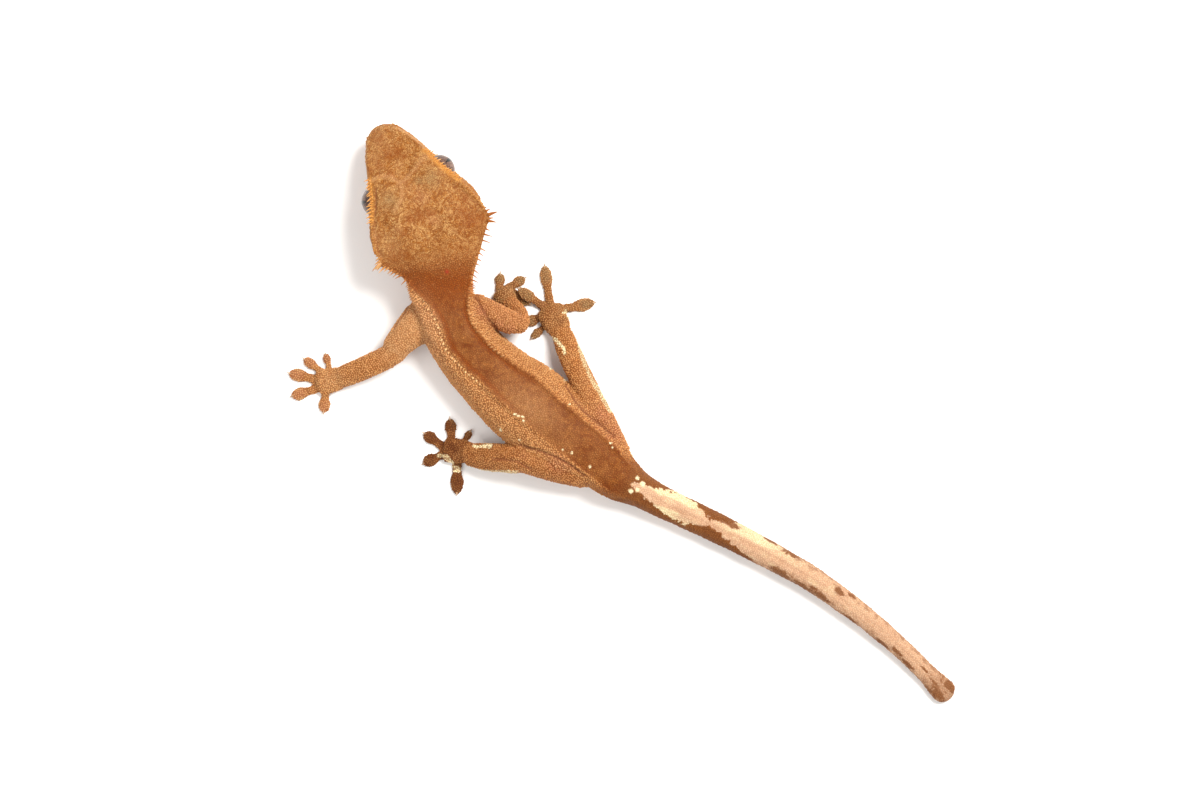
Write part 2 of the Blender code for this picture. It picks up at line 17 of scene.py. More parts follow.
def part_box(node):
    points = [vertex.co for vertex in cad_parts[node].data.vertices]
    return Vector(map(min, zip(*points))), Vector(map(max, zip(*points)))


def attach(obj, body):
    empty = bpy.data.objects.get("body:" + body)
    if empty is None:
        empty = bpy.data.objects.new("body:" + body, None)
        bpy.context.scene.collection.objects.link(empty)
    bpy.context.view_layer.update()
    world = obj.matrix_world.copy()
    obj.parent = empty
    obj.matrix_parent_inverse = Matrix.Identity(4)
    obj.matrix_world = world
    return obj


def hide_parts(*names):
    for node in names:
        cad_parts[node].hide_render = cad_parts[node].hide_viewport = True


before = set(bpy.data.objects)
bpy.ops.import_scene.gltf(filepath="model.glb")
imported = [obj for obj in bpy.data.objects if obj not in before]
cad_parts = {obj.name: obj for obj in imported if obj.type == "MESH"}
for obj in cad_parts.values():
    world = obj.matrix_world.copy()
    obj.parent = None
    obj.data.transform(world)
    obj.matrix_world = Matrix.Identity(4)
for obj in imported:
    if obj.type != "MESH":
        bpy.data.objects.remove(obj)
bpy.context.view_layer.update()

MM = 0.001
SEED = 23
LEFT = 1
RIGHT = -1
COAT_DEPTH = 0.12
VOXEL = 0.26

# Path of the body's middle line, seen from above, from the snout to the tail's end
BODY_PATH = (
    (7.2, 79.8), (3.2, 66.2), (-1.2, 53.2), (-2.6, 49.9), (-5.2, 46.2), (-8.9, 42.1), (-12.5, 34.8),
    (-13.6, 26.3), (-13.4, 18.5), (-12.4, 9.5), (-11.2, 0.5), (-9.8, -8.8), (-9.2, -15.6),
    (-7.6, -22.0), (-5.6, -28.0), (-0.6, -41.6), (5.3, -60.2), (8.2, -74.5), (9.7, -89.5),
    (9.9, -105.3),
)

# Body sizes against distance from the snout
HALF_WIDTH = ((0, 3.5), (2, 4.25), (3.2, 4.85), (4.6, 5.7), (7.6, 7.0), (12, 8.55), (15, 9.7), (20, 12.2),
              (23, 13.35), (25.5, 13.6), (28.5, 12.4), (31, 10.7), (35, 8.2), (38, 6.95), (42, 6.85),
              (50, 7.4), (62, 8.4), (75, 9.8), (85, 9.0), (94, 6.9), (101, 5.4), (108, 3.9), (128, 3.45),
              (150, 3.0), (184, 2.35), (190, 2.95), (193, 2.7))
TOP = ((0, 9.8), (4, 12.0), (14, 16.4), (23, 17.6), (30, 16.6), (41, 13.2), (50, 12.7), (70, 13.4),
       (88, 12.0), (101, 9.5), (113, 7.0), (150, 5.8), (184, 3.8), (193, 2.8))
UNDERSIDE = ((0, 4.8), (6, 3.9), (20, 3.3), (32, 2.5), (46, 0.2), (52, -0.5), (193, -0.5))
WIDEST_HEIGHT = ((0, 7.6), (14, 8.6), (26, 8.4), (44, 5.8), (75, 5.4), (100, 4.8), (113, 3.4), (150, 2.7),
                 (193, 1.3))
CREST_OUT = ((0, 0.9), (11, 0.89), (18, 0.9), (23, 0.92), (26, 0.985), (28.5, 1.1), (29.7, 1.18),
             (30.4, 1.125), (31.4, 1.06), (33, 1.02), (41, 0.92), (50, 0.69), (75, 0.57), (86, 0.6),
             (97, 0.71), (113, 0.6), (193, 0.6))
CREST_UP = ((0, 0.83), (9, 0.9), (14, 0.93), (23, 0.79), (28, 0.78), (36, 0.86), (94, 0.87), (113, 0.8),
            (193, 0.8))
WAIST_OUT = ((0, 0.92), (14, 0.95), (26, 0.98), (33, 1.02), (44, 0.95), (60, 0.9), (193, 0.88))
EYE_DOME = ((9, 0.0), (15, 0.9), (21, 0.0))
# Skin bunched up on the left, where the head turns on the neck, as a share of the size outwards
LEFT_FULLNESS = ((26.5, 1.0), (28.5, 0.96), (29.7, 0.985), (31.5, 1.235), (33, 1.39), (35, 1.38),
                 (36.3, 1.34), (37.8, 1.28), (39, 1.12), (41, 1.08), (43, 1.0))
# How far inside the sections' edges the crest lies on each side, as the body rolls to the right
LEFT_CREST_IN = ((36, 0.0), (39, 0.1), (42, 2.4), (45, 3.3), (47, 3.4), (52, 2.3), (54, 2.0), (58.7, 2.1),
                 (62, 2.5), (75, 2.3), (84, 1.7), (94, 0.8), (104, 0.0))
RIGHT_CREST_IN = ((42, 0.1), (49, 0.5), (56, 0.7), (60.6, 0.3), (66, 0.0), (71, -0.4), (79, 0.1), (86, 0.0))
SNOUT_ROUNDING = 3.2
TAIL_ROUNDING = 2.2
SNOUT_MOUTH_HEIGHT = 7.0
TAIL_END_HEIGHT = 1.1

# Head features
EYES_AT = 15.6
EYE_RADIUS = 3.6
EYE_OUT = 7.7
EYE_HEIGHT = 11.3
NOSTRIL = (1.9, 3.65, 8.6, 0.55)
EAR = (25.5, 12.7, 8.8)
EAR_RADII = (1.3, 0.9, 1.6)
MOUTH_HEIGHT = ((0, 6.9), (6, 6.7), (15, 7.0), (21, 7.6), (24, 8.6))
MOUTH_END = 23.5
SPUR = (99.5, 5.3, 2.6)
SPUR_RADIUS = 1.05

# Legs, as points along each length and (half width, half height) at each point
TUBES = {
    "upper_arm_left": (((-13.8, 41.0, 5.8), (-19.8, 41.3, 6.4), (-27.4, 41.1, 6.2)),
                       ((5.6, 4.0), (4.1, 3.3), (2.6, 2.5))),
    "forearm_left": (((-22.8, 40.0, 6.4), (-27.4, 40.7, 6.0), (-32.6, 42.5, 4.8), (-39.6, 45.4, 2.2)),
                     ((2.4, 2.3), (2.6, 2.4), (2.7, 2.3), (2.5, 1.6))),
    "upper_arm_right": (((-6.8, 36.6, 6.2), (-4.0, 31.2, 7.6), (-1.5, 24.6, 8.6)),
                        ((3.8, 3.4), (3.0, 3.0), (2.5, 2.5))),
    "forearm_right": (((-2.4, 25.0, 9.0), (-0.6, 25.6, 6.6), (0.5, 27.4, 4.5), (0.6, 31.0, 2.2)),
                      ((2.2, 2.2), (2.3, 2.3), (2.1, 2.0), (1.8, 1.4))),
    "thigh_left": (((-12.6, -11.6, 5.2), (-17.4, -4.4, 6.2), (-23.6, 5.6, 7.6)),
                   ((3.5, 3.5), (3.6, 3.5), (2.9, 2.8))),
    "shank_left": (((-21.6, 1.4, 7.6), (-24.1, 4.9, 6.4), (-27.3, 8.4, 4.7), (-31.0, 13.2, 2.2)),
                   ((2.8, 2.6), (3.3, 2.8), (3.2, 2.4), (2.3, 1.5))),
    "thigh_right": (((-6.8, -13.8, 5.2), (-3.8, -5.4, 6.2), (-0.2, 5.4, 7.4)),
                    ((3.3, 3.5), (3.3, 3.5), (2.7, 2.8))),
    "shank_right": (((-1.3, 0.9, 7.4), (-0.1, 5.0, 6.3), (2.0, 11.2, 4.6), (4.9, 18.4, 2.2)),
                    ((2.6, 2.6), (2.8, 2.8), (2.8, 2.4), (2.3, 1.5))),
    "hand_left": (((-37.4, 44.5, 2.4), (-40.2, 45.8, 1.7), (-44.0, 48.0, 1.1)),
                  ((2.2, 1.5), (2.8, 1.5), (3.1, 1.1))),
    "hand_right": (((0.7, 28.6, 2.8), (0.7, 31.2, 1.7), (1.3, 34.2, 1.1)),
                   ((1.8, 1.4), (2.3, 1.4), (2.6, 1.1))),
    "foot_left": (((-28.8, 11.0, 2.8), (-31.0, 13.8, 1.8), (-33.6, 17.0, 1.1)),
                  ((2.2, 1.5), (2.8, 1.5), (3.1, 1.1))),
    "foot_right": (((4.2, 16.0, 2.9), (5.0, 19.3, 1.8), (6.4, 23.8, 1.2)),
                   ((2.1, 1.5), (3.0, 1.5), (3.4, 1.2))),
}

# Toes one to five of each palm: (base, tip, pad width, claw length, height above the floor)
TOES = {
    "hand_left": (((-39.5, 48.6), (-37.7, 51.8), 2.1, 0.4, 0.0),
                  ((-41.3, 49.4), (-42.1, 54.4), 2.6, 0.6, 0.0),
                  ((-43.6, 49.2), (-46.9, 54.4), 3.3, 0.6, 0.0),
                  ((-45.3, 47.6), (-50.2, 50.1), 3.2, 0.6, 0.0),
                  ((-43.8, 45.4), (-47.6, 42.2), 3.1, 0.6, 0.0)),
    "hand_right": (((-0.9, 32.6), (-3.7, 33.6), 2.1, 0.4, 0.0),
                   ((1.1, 34.3), (4.0, 36.8), 2.7, 0.6, 0.0),
                   ((3.0, 33.2), (7.3, 32.1), 2.8, 0.6, 0.0),
                   ((3.0, 31.4), (3.9, 27.0), 2.7, 0.6, 0.0),
                   ((-0.9, 31.0), (-3.9, 28.7), 2.6, 0.6, 0.0)),
    "foot_left": (((-29.2, 14.9), (-26.1, 15.7), 2.0, 0.4, 0.0),
                  ((-31.0, 17.0), (-27.6, 21.1), 3.0, 0.5, 0.0),
                  ((-33.4, 18.0), (-34.3, 22.9), 3.2, 0.6, 0.0),
                  ((-34.6, 16.2), (-39.4, 17.9), 3.2, 0.6, 0.0),
                  ((-33.6, 12.6), (-38.7, 7.4), 3.4, 0.6, 0.0)),
    "foot_right": (((3.4, 21.1), (-1.5, 21.1), 2.2, 0.4, 0.0),
                   ((4.2, 22.8), (-0.3, 24.8), 3.0, 0.6, 0.0),
                   ((5.6, 24.8), (4.4, 31.4), 2.9, 0.6, 1.6),
                   ((8.0, 25.0), (12.5, 31.1), 3.1, 0.6, 0.0),
                   ((8.6, 20.8), (14.8, 16.9), 3.3, 0.6, 0.0)),
}
TOE_SHARES = ((0.0, 0.72), (0.28, 0.66), (0.58, 1.0), (0.8, 0.86), (1.0, 0.3))
TOE_SHAFT_HEIGHT = 0.6
PAD_HEIGHT = 0.5

# Markings, seen from above: places (x, y, radius) of each kind
PALE_SPOTS = (
    (-4.3, 20.8, 0.35), (-3.7, 18.5, 0.35), (-5.7, 4.1, 0.35), (-3.1, 13.0, 0.4), (-2.6, 8.8, 0.4),
    (-16.0, 11.0, 0.4), (-15.7, 10.2, 0.4), (-15.1, 9.5, 0.45), (-15.6, 8.7, 0.4), (-20.8, 10.9, 0.45),
    (-19.3, 6.2, 0.45), (-13.9, -2.2, 0.35), (-12.9, -4.1, 0.4), (-12.1, -9.2, 0.45), (-5.1, -8.7, 0.4),
    (-5.5, -9.6, 0.35), (-6.3, -18.6, 0.6), (-6.4, -20.4, 0.8), (-9.4, -19.7, 0.75), (-8.2, -20.6, 0.7),
)
RICH_PLACES = (
    (5.4, 76.8, 1.3), (4.5, 72.9, 1.5), (6.1, 71.7, 1.3), (6.4, 70.1, 1.0), (1.3, 72.3, 1.1), (-0.9, 73.2, 0.8),
    (1.8, 69.2, 0.9), (-10.8, 54.7, 2.0), (-8.3, 53.5, 1.5), (-13.2, 54.9, 1.2), (7.5, 49.4, 3.2),
    (7.4, 51.7, 1.8), (9.1, 48.2, 2.0), (0.1, 57.8, 1.6), (-1.9, 58.7, 1.3), (2.0, 56.9, 1.0),
    (-5.5, 57.6, 1.0), (9.9, 53.5, 1.0),
)
LIGHT_PLACES = (
    (8.5, 78.5, 1.3), (6.9, 78.9, 1.3), (9.0, 77.1, 1.0), (3.1, 65.9, 1.6), (2.6, 63.9, 1.4), (3.5, 62.4, 1.6),
    (-6.0, 59.1, 1.3), (1.7, 53.8, 1.0), (-10.0, 61.4, 1.3), (8.8, 66.6, 1.3), (4.8, 69.2, 1.0),
    (3.2, 60.2, 1.3), (-17.8, 42.6, 3.6), (-22.2, 42.2, 3.2), (-13.8, 44.2, 3.0), (-15.8, 38.6, 2.8),
    (-41.0, 46.4, 3.4), (4.6, 76.6, 3.4), (1.6, 75.0, 2.6), (-9.6, 57.8, 3.0),
)
OLIVE_PLACES = ((-2.6, 65.1, 2.4), (7.4, 61.9, 2.2), (5.4, 63.6, 1.2))
PINK_PLACES = (
    (-14.6, 40.2, 3.2), (-15.7, 43.3, 2.4), (-5.0, 33.0, 1.8), (-4.6, 28.2, 1.8), (-3.6, 25.6, 1.6),
    (-1.6, -3.4, 3.4), (-2.6, -7.6, 3.0), (-17.0, -3.8, 2.6), (3.0, 60.6, 2.0), (1.4, 55.4, 1.6),
)
RED_SPOT = (-4.5, 44.7, 0.4)
# Pale patches: lines of (x, y) and a half width
PALE_LINES = (
    (((-28.1, 12.6), (-27.2, 11.7), (-26.2, 10.9)), 0.35), (((-26.2, 10.9), (-25.2, 10.1)), 0.6),
    (((1.7, 18.4), (2.3, 16.9), (2.3, 15.4), (2.2, 14.0), (1.7, 13.3)), 0.45),
    (((8.0, 20.2), (8.8, 19.1), (9.4, 18.3)), 0.3), (((-35.6, 11.9), (-34.3, 10.6)), 0.3),
)
# Pale fringes along the rear edges of the hind legs, from the foot to the thigh
FRINGES = (
    ((-35.4, 16.8), (-34.2, 15.3), (-34.3, 13.7), (-34.7, 12.4), (-34.0, 11.0), (-32.1, 9.1), (-30.3, 6.8),
     (-27.7, 4.1), (-25.0, 1.4), (-23.1, -1.3), (-21.0, -4.5)),
    ((8.7, 20.2), (8.1, 18.2), (7.3, 16.1), (6.0, 13.3), (4.4, 10.8), (3.3, 8.4), (2.1, 5.5), (0.9, 0.9),
     (-0.1, -3.4), (-1.2, -6.9)),
)
# Light ridges across the brow and round the left eye's dome
HEAD_RIDGES = (
    ((-3.6, 71.3), (-1.7, 71.0), (0.1, 70.3), (1.4, 68.7), (1.7, 66.1), (1.2, 64.7), (-0.6, 63.3), (-3.3, 62.5)),
    ((1.4, 66.4), (3.3, 66.1), (5.0, 66.0), (7.9, 66.4), (9.9, 66.5), (11.2, 66.3)),
)
# Light lines beside the mouth: lines of (x, y) and a half width
LIGHT_LINES = (
    (((4.4, 80.1), (2.6, 79.0), (0.6, 77.1), (-1.0, 75.2), (-2.9, 72.6)), 0.55),
    (((9.8, 76.7), (10.9, 73.7), (11.3, 71.1), (11.7, 67.9)), 0.35),
)
# Folds: lines of (x, y), depth, half width and strength of the painted shade in the fold
FOLDS = (
    (((-26.7, 7.3), (-24.5, 4.8), (-23.1, 3.2), (-22.7, 1.3), (-22.1, -0.4)), 0.35, 0.35, 0.7),
    (((-20.0, 5.3), (-17.9, 1.5), (-16.1, -2.5), (-15.0, -6.2), (-14.4, -9.7)), 0.5, 0.4, 0.8),
    (((-3.3, 7.8), (-4.3, 3.6), (-4.5, 0.4), (-3.9, -3.7), (-3.5, -8.1)), 0.4, 0.4, 0.7),
    (((-3.8, 36.7), (-4.7, 33.4), (-5.4, 30.6), (-5.5, 27.9)), 0.4, 0.45, 0.7),
    (((-20.3, 37.9), (-18.2, 36.8), (-18.2, 34.3), (-18.9, 31.2)), 0.2, 0.5, 0.25),
    (((-15.0, 46.4), (-18.0, 45.1), (-19.8, 44.8), (-22.1, 44.5)), 0.3, 0.3, 0.6),
    (((-2.9, 69.0), (-4.6, 67.2), (-6.2, 65.6), (-7.3, 64.8)), 0.3, 0.2, 0.75),
    (((10.1, 57.1), (10.6, 55.0), (10.8, 52.7), (11.1, 50.7)), 0.22, 0.4, 0.3),
    (((-7.8, 64.3), (-10.1, 61.8), (-12.1, 59.0), (-12.7, 57.1)), 0.22, 0.4, 0.3),
)

# Tail pattern: pale saddle edges as shares of the half width, on the left and on the right
PALE_EDGE_LEFT = ((103, -0.4), (104, 0.0), (106, 0.1), (110, 0.35), (114, 0.6), (118, 0.68), (121, 0.42),
                  (124, 0.12), (127, 0.28), (131, 0.6), (136, 0.82), (140, 1.2), (193, 1.5))
PALE_EDGE_RIGHT = ((103, -0.1), (104, 0.3), (106, 0.4), (109, 0.6), (112, 0.8), (115, 1.0), (118, 0.88),
                   (121, 0.66), (124, 0.34), (127, 0.70), (130, 1.05), (134, 1.3), (193, 1.5))
# Brown blotches on the tail: (distance, share of half width, length, width)
BLOTCHES = (
    (127.5, -0.66, 3.2, 0.25), (134.0, 0.86, 2.6, 0.18), (138.0, -0.9, 2.0, 0.12), (126.6, 0.5, 1.0, 0.12),
    (143.4, -0.84, 2.4, 0.28), (143.5, 0.76, 3.6, 0.34), (149.5, 0.82, 4.6, 0.26),
    (151.5, 0.5, 1.6, 0.16), (154.0, 0.72, 3.2, 0.26), (157.0, -0.42, 2.0, 0.3), (160.0, -0.75, 1.4, 0.16),
    (163.0, 0.85, 3.0, 0.14), (172.0, 0.82, 3.0, 0.2), (176.5, 0.5, 2.0, 0.24), (180.0, 0.68, 2.4, 0.24),
    (183.5, -0.1, 1.4, 0.14), (190.0, 0.5, 2.4, 0.5), (190.2, -0.6, 2.4, 0.5), (187.0, 0.1, 2.2, 0.16),
)
# How brown, pink, light and olive each part of the legs is
LIMB_TONES = {
    "upper_arm_left": (0.0, 0.15, 1.0, 0.0), "forearm_left": (0.0, 0.0, 0.15, 0.0),
    "hand_left": (0.0, 0.0, 0.3, 0.0), "upper_arm_right": (0.0, 0.35, 0.2, 0.0),
    "forearm_right": (0.1, 0.2, 0.0, 0.0), "hand_right": (0.15, 0.0, 0.2, 0.6),
    "thigh_left": (0.22, 0.12, 0.0, 0.0), "shank_left": (0.38, 0.0, 0.0, 0.0),
    # The left hind foot's full brown is partly its own browner colour and partly painted shade, as that foot lay in
    # shade
    "foot_left": (1.0, 0.0, 0.0, 0.2), "thigh_right": (0.0, 0.1, 0.15, 0.0),
    "shank_right": (0.05, 0.0, 0.0, 0.0), "foot_right": (0.26, 0.0, 0.05, 0.4),
}

# The part of a leg that each part joins, whose tones it starts with
JOINED_TO = {"forearm": "upper_arm", "hand": "forearm", "shank": "thigh", "foot": "shank"}

# Colours of the living skin
FLANK = (0.600, 0.288, 0.104)
FLANK_DARK = (0.520, 0.220, 0.068)
DORSUM_DARK = (0.150, 0.034, 0.004)
DORSUM = (0.178, 0.040, 0.004)
DORSUM_LIGHT = (0.295, 0.097, 0.016)
HEAD_DARK = (0.230, 0.065, 0.007)
HEAD_MIDDLE = (0.405, 0.158, 0.031)
HEAD_LIGHT = (0.580, 0.315, 0.112)
# Deep orange of the head's corners, neck and blotches, also used for painted shade beside the crest ridges and on the
# right spine row behind the head
RICH_AND_SHADE = (0.255, 0.057, 0.004)
LIGHT = (0.600, 0.330, 0.148)
OLIVE = (0.335, 0.212, 0.092)
PINK = (0.520, 0.200, 0.098)
GOLD = (0.620, 0.275, 0.060)
TIP = (0.840, 0.540, 0.260)
PEACH = (0.655, 0.410, 0.260)
PEACH_PINK = (0.470, 0.260, 0.148)
CREAM = (0.840, 0.700, 0.430)
BROWN = (0.205, 0.070, 0.017)
# Painted shade for folds, the mouth line, nostrils and ear openings
CREASE_SHADE = (0.170, 0.050, 0.020)
RED = (0.300, 0.030, 0.012)


# Curves

def smooth_curve(knots):
    """Monotone smooth function through (position, value) knots."""
    places = [knot[0] for knot in knots]
    values = [knot[1] for knot in knots]
    steps = [after - before for before, after in zip(places, places[1:])]
    rises = [(after - before) / step for before, after, step in zip(values, values[1:], steps)]
    slopes = [rises[0]]
    for before, after, rise, next_rise in zip(steps, steps[1:], rises, rises[1:]):
        if rise * next_rise <= 0:
            slopes.append(0.0)
        else:
            first, second = 2 * after + before, after + 2 * before
            slopes.append((first + second) / (first / rise + second / next_rise))
    slopes.append(rises[-1])

    def value(place):
        place = min(max(place, places[0]), places[-1])
        index = min(bisect_right(places, place) - 1, len(steps) - 1)
        return hermite(values[index], values[index + 1], slopes[index] * steps[index],
                       slopes[index + 1] * steps[index], (place - places[index]) / steps[index])

    return value


def hermite(start, end, start_slope, end_slope, share):
    square, cube = share ** 2, share ** 3
    return (start * (2 * cube - 3 * square + 1) + start_slope * (cube - 2 * square + share)
            + end * (3 * square - 2 * cube) + end_slope * (cube - square))


def smooth_path(points):
    """Curve through points, read by distance along it, and its length."""
    points = [Vector(point) for point in points]
    lengths = [0.0]
    for before, after in zip(points, points[1:]):
        lengths.append(lengths[-1] + (after - before).length)
    tangents = []
    for index in range(len(points)):
        before, after = max(index - 1, 0), min(index + 1, len(points) - 1)
        tangents.append((points[after] - points[before]) / (lengths[after] - lengths[before]))

    def place(distance):
        distance = min(max(distance, 0.0), lengths[-1])
        index = min(bisect_right(lengths, distance) - 1, len(points) - 2)
        step = lengths[index + 1] - lengths[index]
        return hermite(points[index], points[index + 1], tangents[index] * step,
                       tangents[index + 1] * step, (distance - lengths[index]) / step)

    return place, lengths[-1]


def mix(start, end, share):
    return start + (end - start) * share


def ramp(values, low, high):
    """Smooth step from 0 at low to 1 at high, for arrays and numbers."""
    share = np.clip((values - low) / (high - low), 0.0, 1.0)
    return share * share * (3 - 2 * share)


def bump(values, middle, spread):
    return np.exp(-((values - middle) / spread) ** 2)


def field(points, size, seed=0):
    """Smooth random field from -1 to 1 whose features are about one size across."""
    scaled = points / size + seed * 17.31
    cell = np.floor(scaled).astype(np.int64)
    part = scaled - cell
    part = part * part * (3 - 2 * part)
    total = np.zeros(len(points))
    for corner in range(8):
        step = np.array((corner & 1, corner >> 1 & 1, corner >> 2 & 1))
        here = cell + step
        word = here[:, 0] * 73856093 ^ here[:, 1] * 19349663 ^ here[:, 2] * 83492791
        word = (word ^ word >> 13) * 1274126177 & 0xffffffff
        value = ((word ^ word >> 16) & 0xffff) / 32767.5 - 1
        total += np.prod(np.where(step, part, 1 - part), axis=1) * value
    return total


# Body

body_place, BODY_LENGTH = smooth_path([(x, y, 0.0) for x, y in BODY_PATH])
half_width = smooth_curve(HALF_WIDTH)
top_height = smooth_curve(TOP)
underside = smooth_curve(UNDERSIDE)
widest_height = smooth_curve(WIDEST_HEIGHT)
crest_out = smooth_curve(CREST_OUT)
crest_up = smooth_curve(CREST_UP)
waist_out = smooth_curve(WAIST_OUT)
eye_dome = smooth_curve(EYE_DOME)
left_fullness = smooth_curve(LEFT_FULLNESS)
crest_in = {LEFT: smooth_curve(LEFT_CREST_IN), RIGHT: smooth_curve(RIGHT_CREST_IN)}


def body_axes(distance):
    """Point on the middle line and the directions forward and to the left there."""
    step = 0.2
    forward = (body_place(distance - step) - body_place(distance + step)).normalized()
    return body_place(distance), forward, Vector((-forward.y, forward.x, 0.0))


def on_body(distance, side, out, height):
    place, _, left = body_axes(distance)
    return place + left * side * out + Vector((0, 0, height))


def fullness(distance, side):
    return left_fullness(distance) if side == LEFT else 1.0


def crest_reach(distance, side):
    """How far out from the middle line the crest lies on one side."""
    return crest_out(distance) * half_width(distance) * fullness(distance, side) - crest_in[side](distance)


def half_section(distance, swell):
    """Half outline of the body across, as (out, height) from the back to the belly."""
    wide = half_width(distance) + swell
    middle = widest_height(distance)
    top = top_height(distance) + swell
    low = underside(distance) - swell
    crest = crest_out(distance) * half_width(distance) + swell
    crest_height = mix(middle, top, crest_up(distance))
    waist = waist_out(distance) * wide
    waist_height = mix(middle, crest_height, 0.55)
    dome = eye_dome(distance)
    points = [
        (0.0, top),
        (0.42 * crest, mix(top, crest_height, 0.15) + 0.4 * dome),
        (0.8 * crest, mix(top, crest_height, 0.8) + dome),
        (crest, crest_height),
        (mix(crest, waist, 0.55), mix(crest_height, waist_height, 0.4)),
        (waist, waist_height),
        (wide, middle),
    ]
    for degrees in (11, 23, 46, 70):
        angle = math.radians(degrees)
        points.append((wide * math.cos(angle), mix(middle, low, math.sin(angle))))
    points.append((0.0, low))
    return points


def rounded(points, parts):
    """Closed smooth curve through points, with a number of parts between each two."""
    curve = []
    count = len(points)
    for index in range(count):
        before, start, end, after = (np.array(points[(index + step) % count]) for step in (-1, 0, 1, 2))
        for part in range(parts):
            curve.append(hermite(start, end, (end - before) / 2, (after - start) / 2, part / parts))
    return curve


def body_ring(distance):
    half = half_section(distance, -COAT_DEPTH)
    whole = [(LEFT * out * fullness(distance, LEFT), height) for out, height in half]
    whole += [(RIGHT * out, height) for out, height in reversed(half[1:-1])]
    share = 1.0
    for depth, reach in ((distance, SNOUT_ROUNDING), (BODY_LENGTH - distance, TAIL_ROUNDING)):
        if depth < reach:
            share = max(1 - (1 - depth / reach) ** 2.2, 0.0) ** (1 / 2.2)
    pole = SNOUT_MOUTH_HEIGHT if distance < BODY_LENGTH / 2 else TAIL_END_HEIGHT
    place, _, left = body_axes(distance)
    return [place + left * out * share + Vector((0, 0, mix(pole, height, share)))
            for out, height in rounded(whole, 4)]


def loft(rings, first_tip, last_tip):
    """Points and faces of a closed surface through rings, with a tip at each end."""
    around = len(rings[0])
    points = [point for ring in rings for point in ring] + [first_tip, last_tip]
    faces = []
    for row in range(len(rings) - 1):
        start = row * around
        for index in range(around):
            after = (index + 1) % around
            faces.append((start + index, start + after, start + around + after, start + around + index))
    end = (len(rings) - 1) * around
    for index in range(around):
        after = (index + 1) % around
        faces.append((after, index, len(points) - 2))
        faces.append((end + index, end + after, len(points) - 1))
    return points, faces


def body_surface():
    stations = [SNOUT_ROUNDING * share for share in (0.01, 0.04, 0.09, 0.16, 0.25, 0.36, 0.5, 0.66, 0.83)]
    count = round((BODY_LENGTH - SNOUT_ROUNDING - TAIL_ROUNDING) / 0.7)
    for index in range(count + 1):
        stations.append(mix(SNOUT_ROUNDING, BODY_LENGTH - TAIL_ROUNDING, index / count))
    stations += [BODY_LENGTH - TAIL_ROUNDING * share for share in (0.8, 0.6, 0.42, 0.27, 0.15, 0.06, 0.01)]
    first_tip = body_place(0) + Vector((0, 0, SNOUT_MOUTH_HEIGHT))
    last_tip = body_place(BODY_LENGTH) + Vector((0, 0, TAIL_END_HEIGHT))
    return loft([body_ring(distance) for distance in stations], first_tip, last_tip)


def tube_axes(place, length, distance):
    ahead = (place(min(distance + 0.1, length)) - place(max(distance - 0.1, 0))).normalized()
    across = ahead.cross(Vector((0, 0, 1))).normalized()
    return ahead, across, across.cross(ahead)


def tube_surface(points, sizes, sides=24, spacing=0.7):
    """Round-ended tube through points, with a (half width, half height) at each point."""
    place, length = smooth_path(points)
    marks = [0.0]
    for before, after in zip(points, points[1:]):
        marks.append(marks[-1] + (Vector(after) - Vector(before)).length)
    wide = smooth_curve(list(zip(marks, [size[0] for size in sizes])))
    tall = smooth_curve(list(zip(marks, [size[1] for size in sizes])))
    ends = (min(sizes[0]) * 0.8, min(sizes[-1]) * 0.8)
    count = max(round((length - sum(ends)) / spacing), 3)
    stations = [ends[0] * share for share in (0.03, 0.12, 0.3, 0.6)]
    stations += [mix(ends[0], length - ends[1], index / count) for index in range(count + 1)]
    stations += [length - ends[1] * share for share in (0.6, 0.3, 0.12, 0.03)]
    rings = []
    for distance in stations:
        _, across, upward = tube_axes(place, length, distance)
        share = 1.0
        for depth, reach in ((distance, ends[0]), (length - distance, ends[1])):
            if depth < reach:
                share = math.sqrt(1 - (1 - depth / reach) ** 2)
        ring = []
        for index in range(sides):
            angle = 2 * math.pi * index / sides
            out = across * math.cos(angle) * (wide(distance) - COAT_DEPTH / 2) * share
            ring.append(place(distance) + out + upward * math.sin(angle) * tall(distance) * share)
        rings.append(ring)
    return loft(rings, place(0), place(length))


def toe_points(palm, toe):
    """Middle line and sizes of one toe, from inside the palm to its tip."""
    base, tip, pad_width, _, raise_by = toe
    base, tip = Vector((*base, 0.0)), Vector((*tip, 0.0))
    middle = (Vector(palm[0]) + Vector(palm[-1])) / 2
    inner = mix(base, Vector((middle.x, middle.y, 0.0)), 0.55)
    points = [(inner.x, inner.y, 0.55)]
    sizes = [(0.9, TOE_SHAFT_HEIGHT)]
    for share, width in TOE_SHARES:
        at = mix(base, tip, share)
        points.append((at.x, at.y, 0.45 + raise_by * min(1.0, share * 1.6)))
        sizes.append((width * pad_width / 2, mix(TOE_SHAFT_HEIGHT, PAD_HEIGHT, share)))
    return points, sizes


def flesh_parts():
    """Name, middle line, sizes and palm of each part under the skin, the body first."""
    parts = [("body", None, None, None)]
    for name, (points, sizes) in TUBES.items():
        parts.append((name, points, sizes, name))
    for name, toes in TOES.items():
        for toe in toes:
            points, sizes = toe_points(TUBES[name][0], toe)
            parts.append(("toe", points, sizes, name))
    return parts


PARTS = flesh_parts()


# Places on the skin

PATH_STEP = 0.25


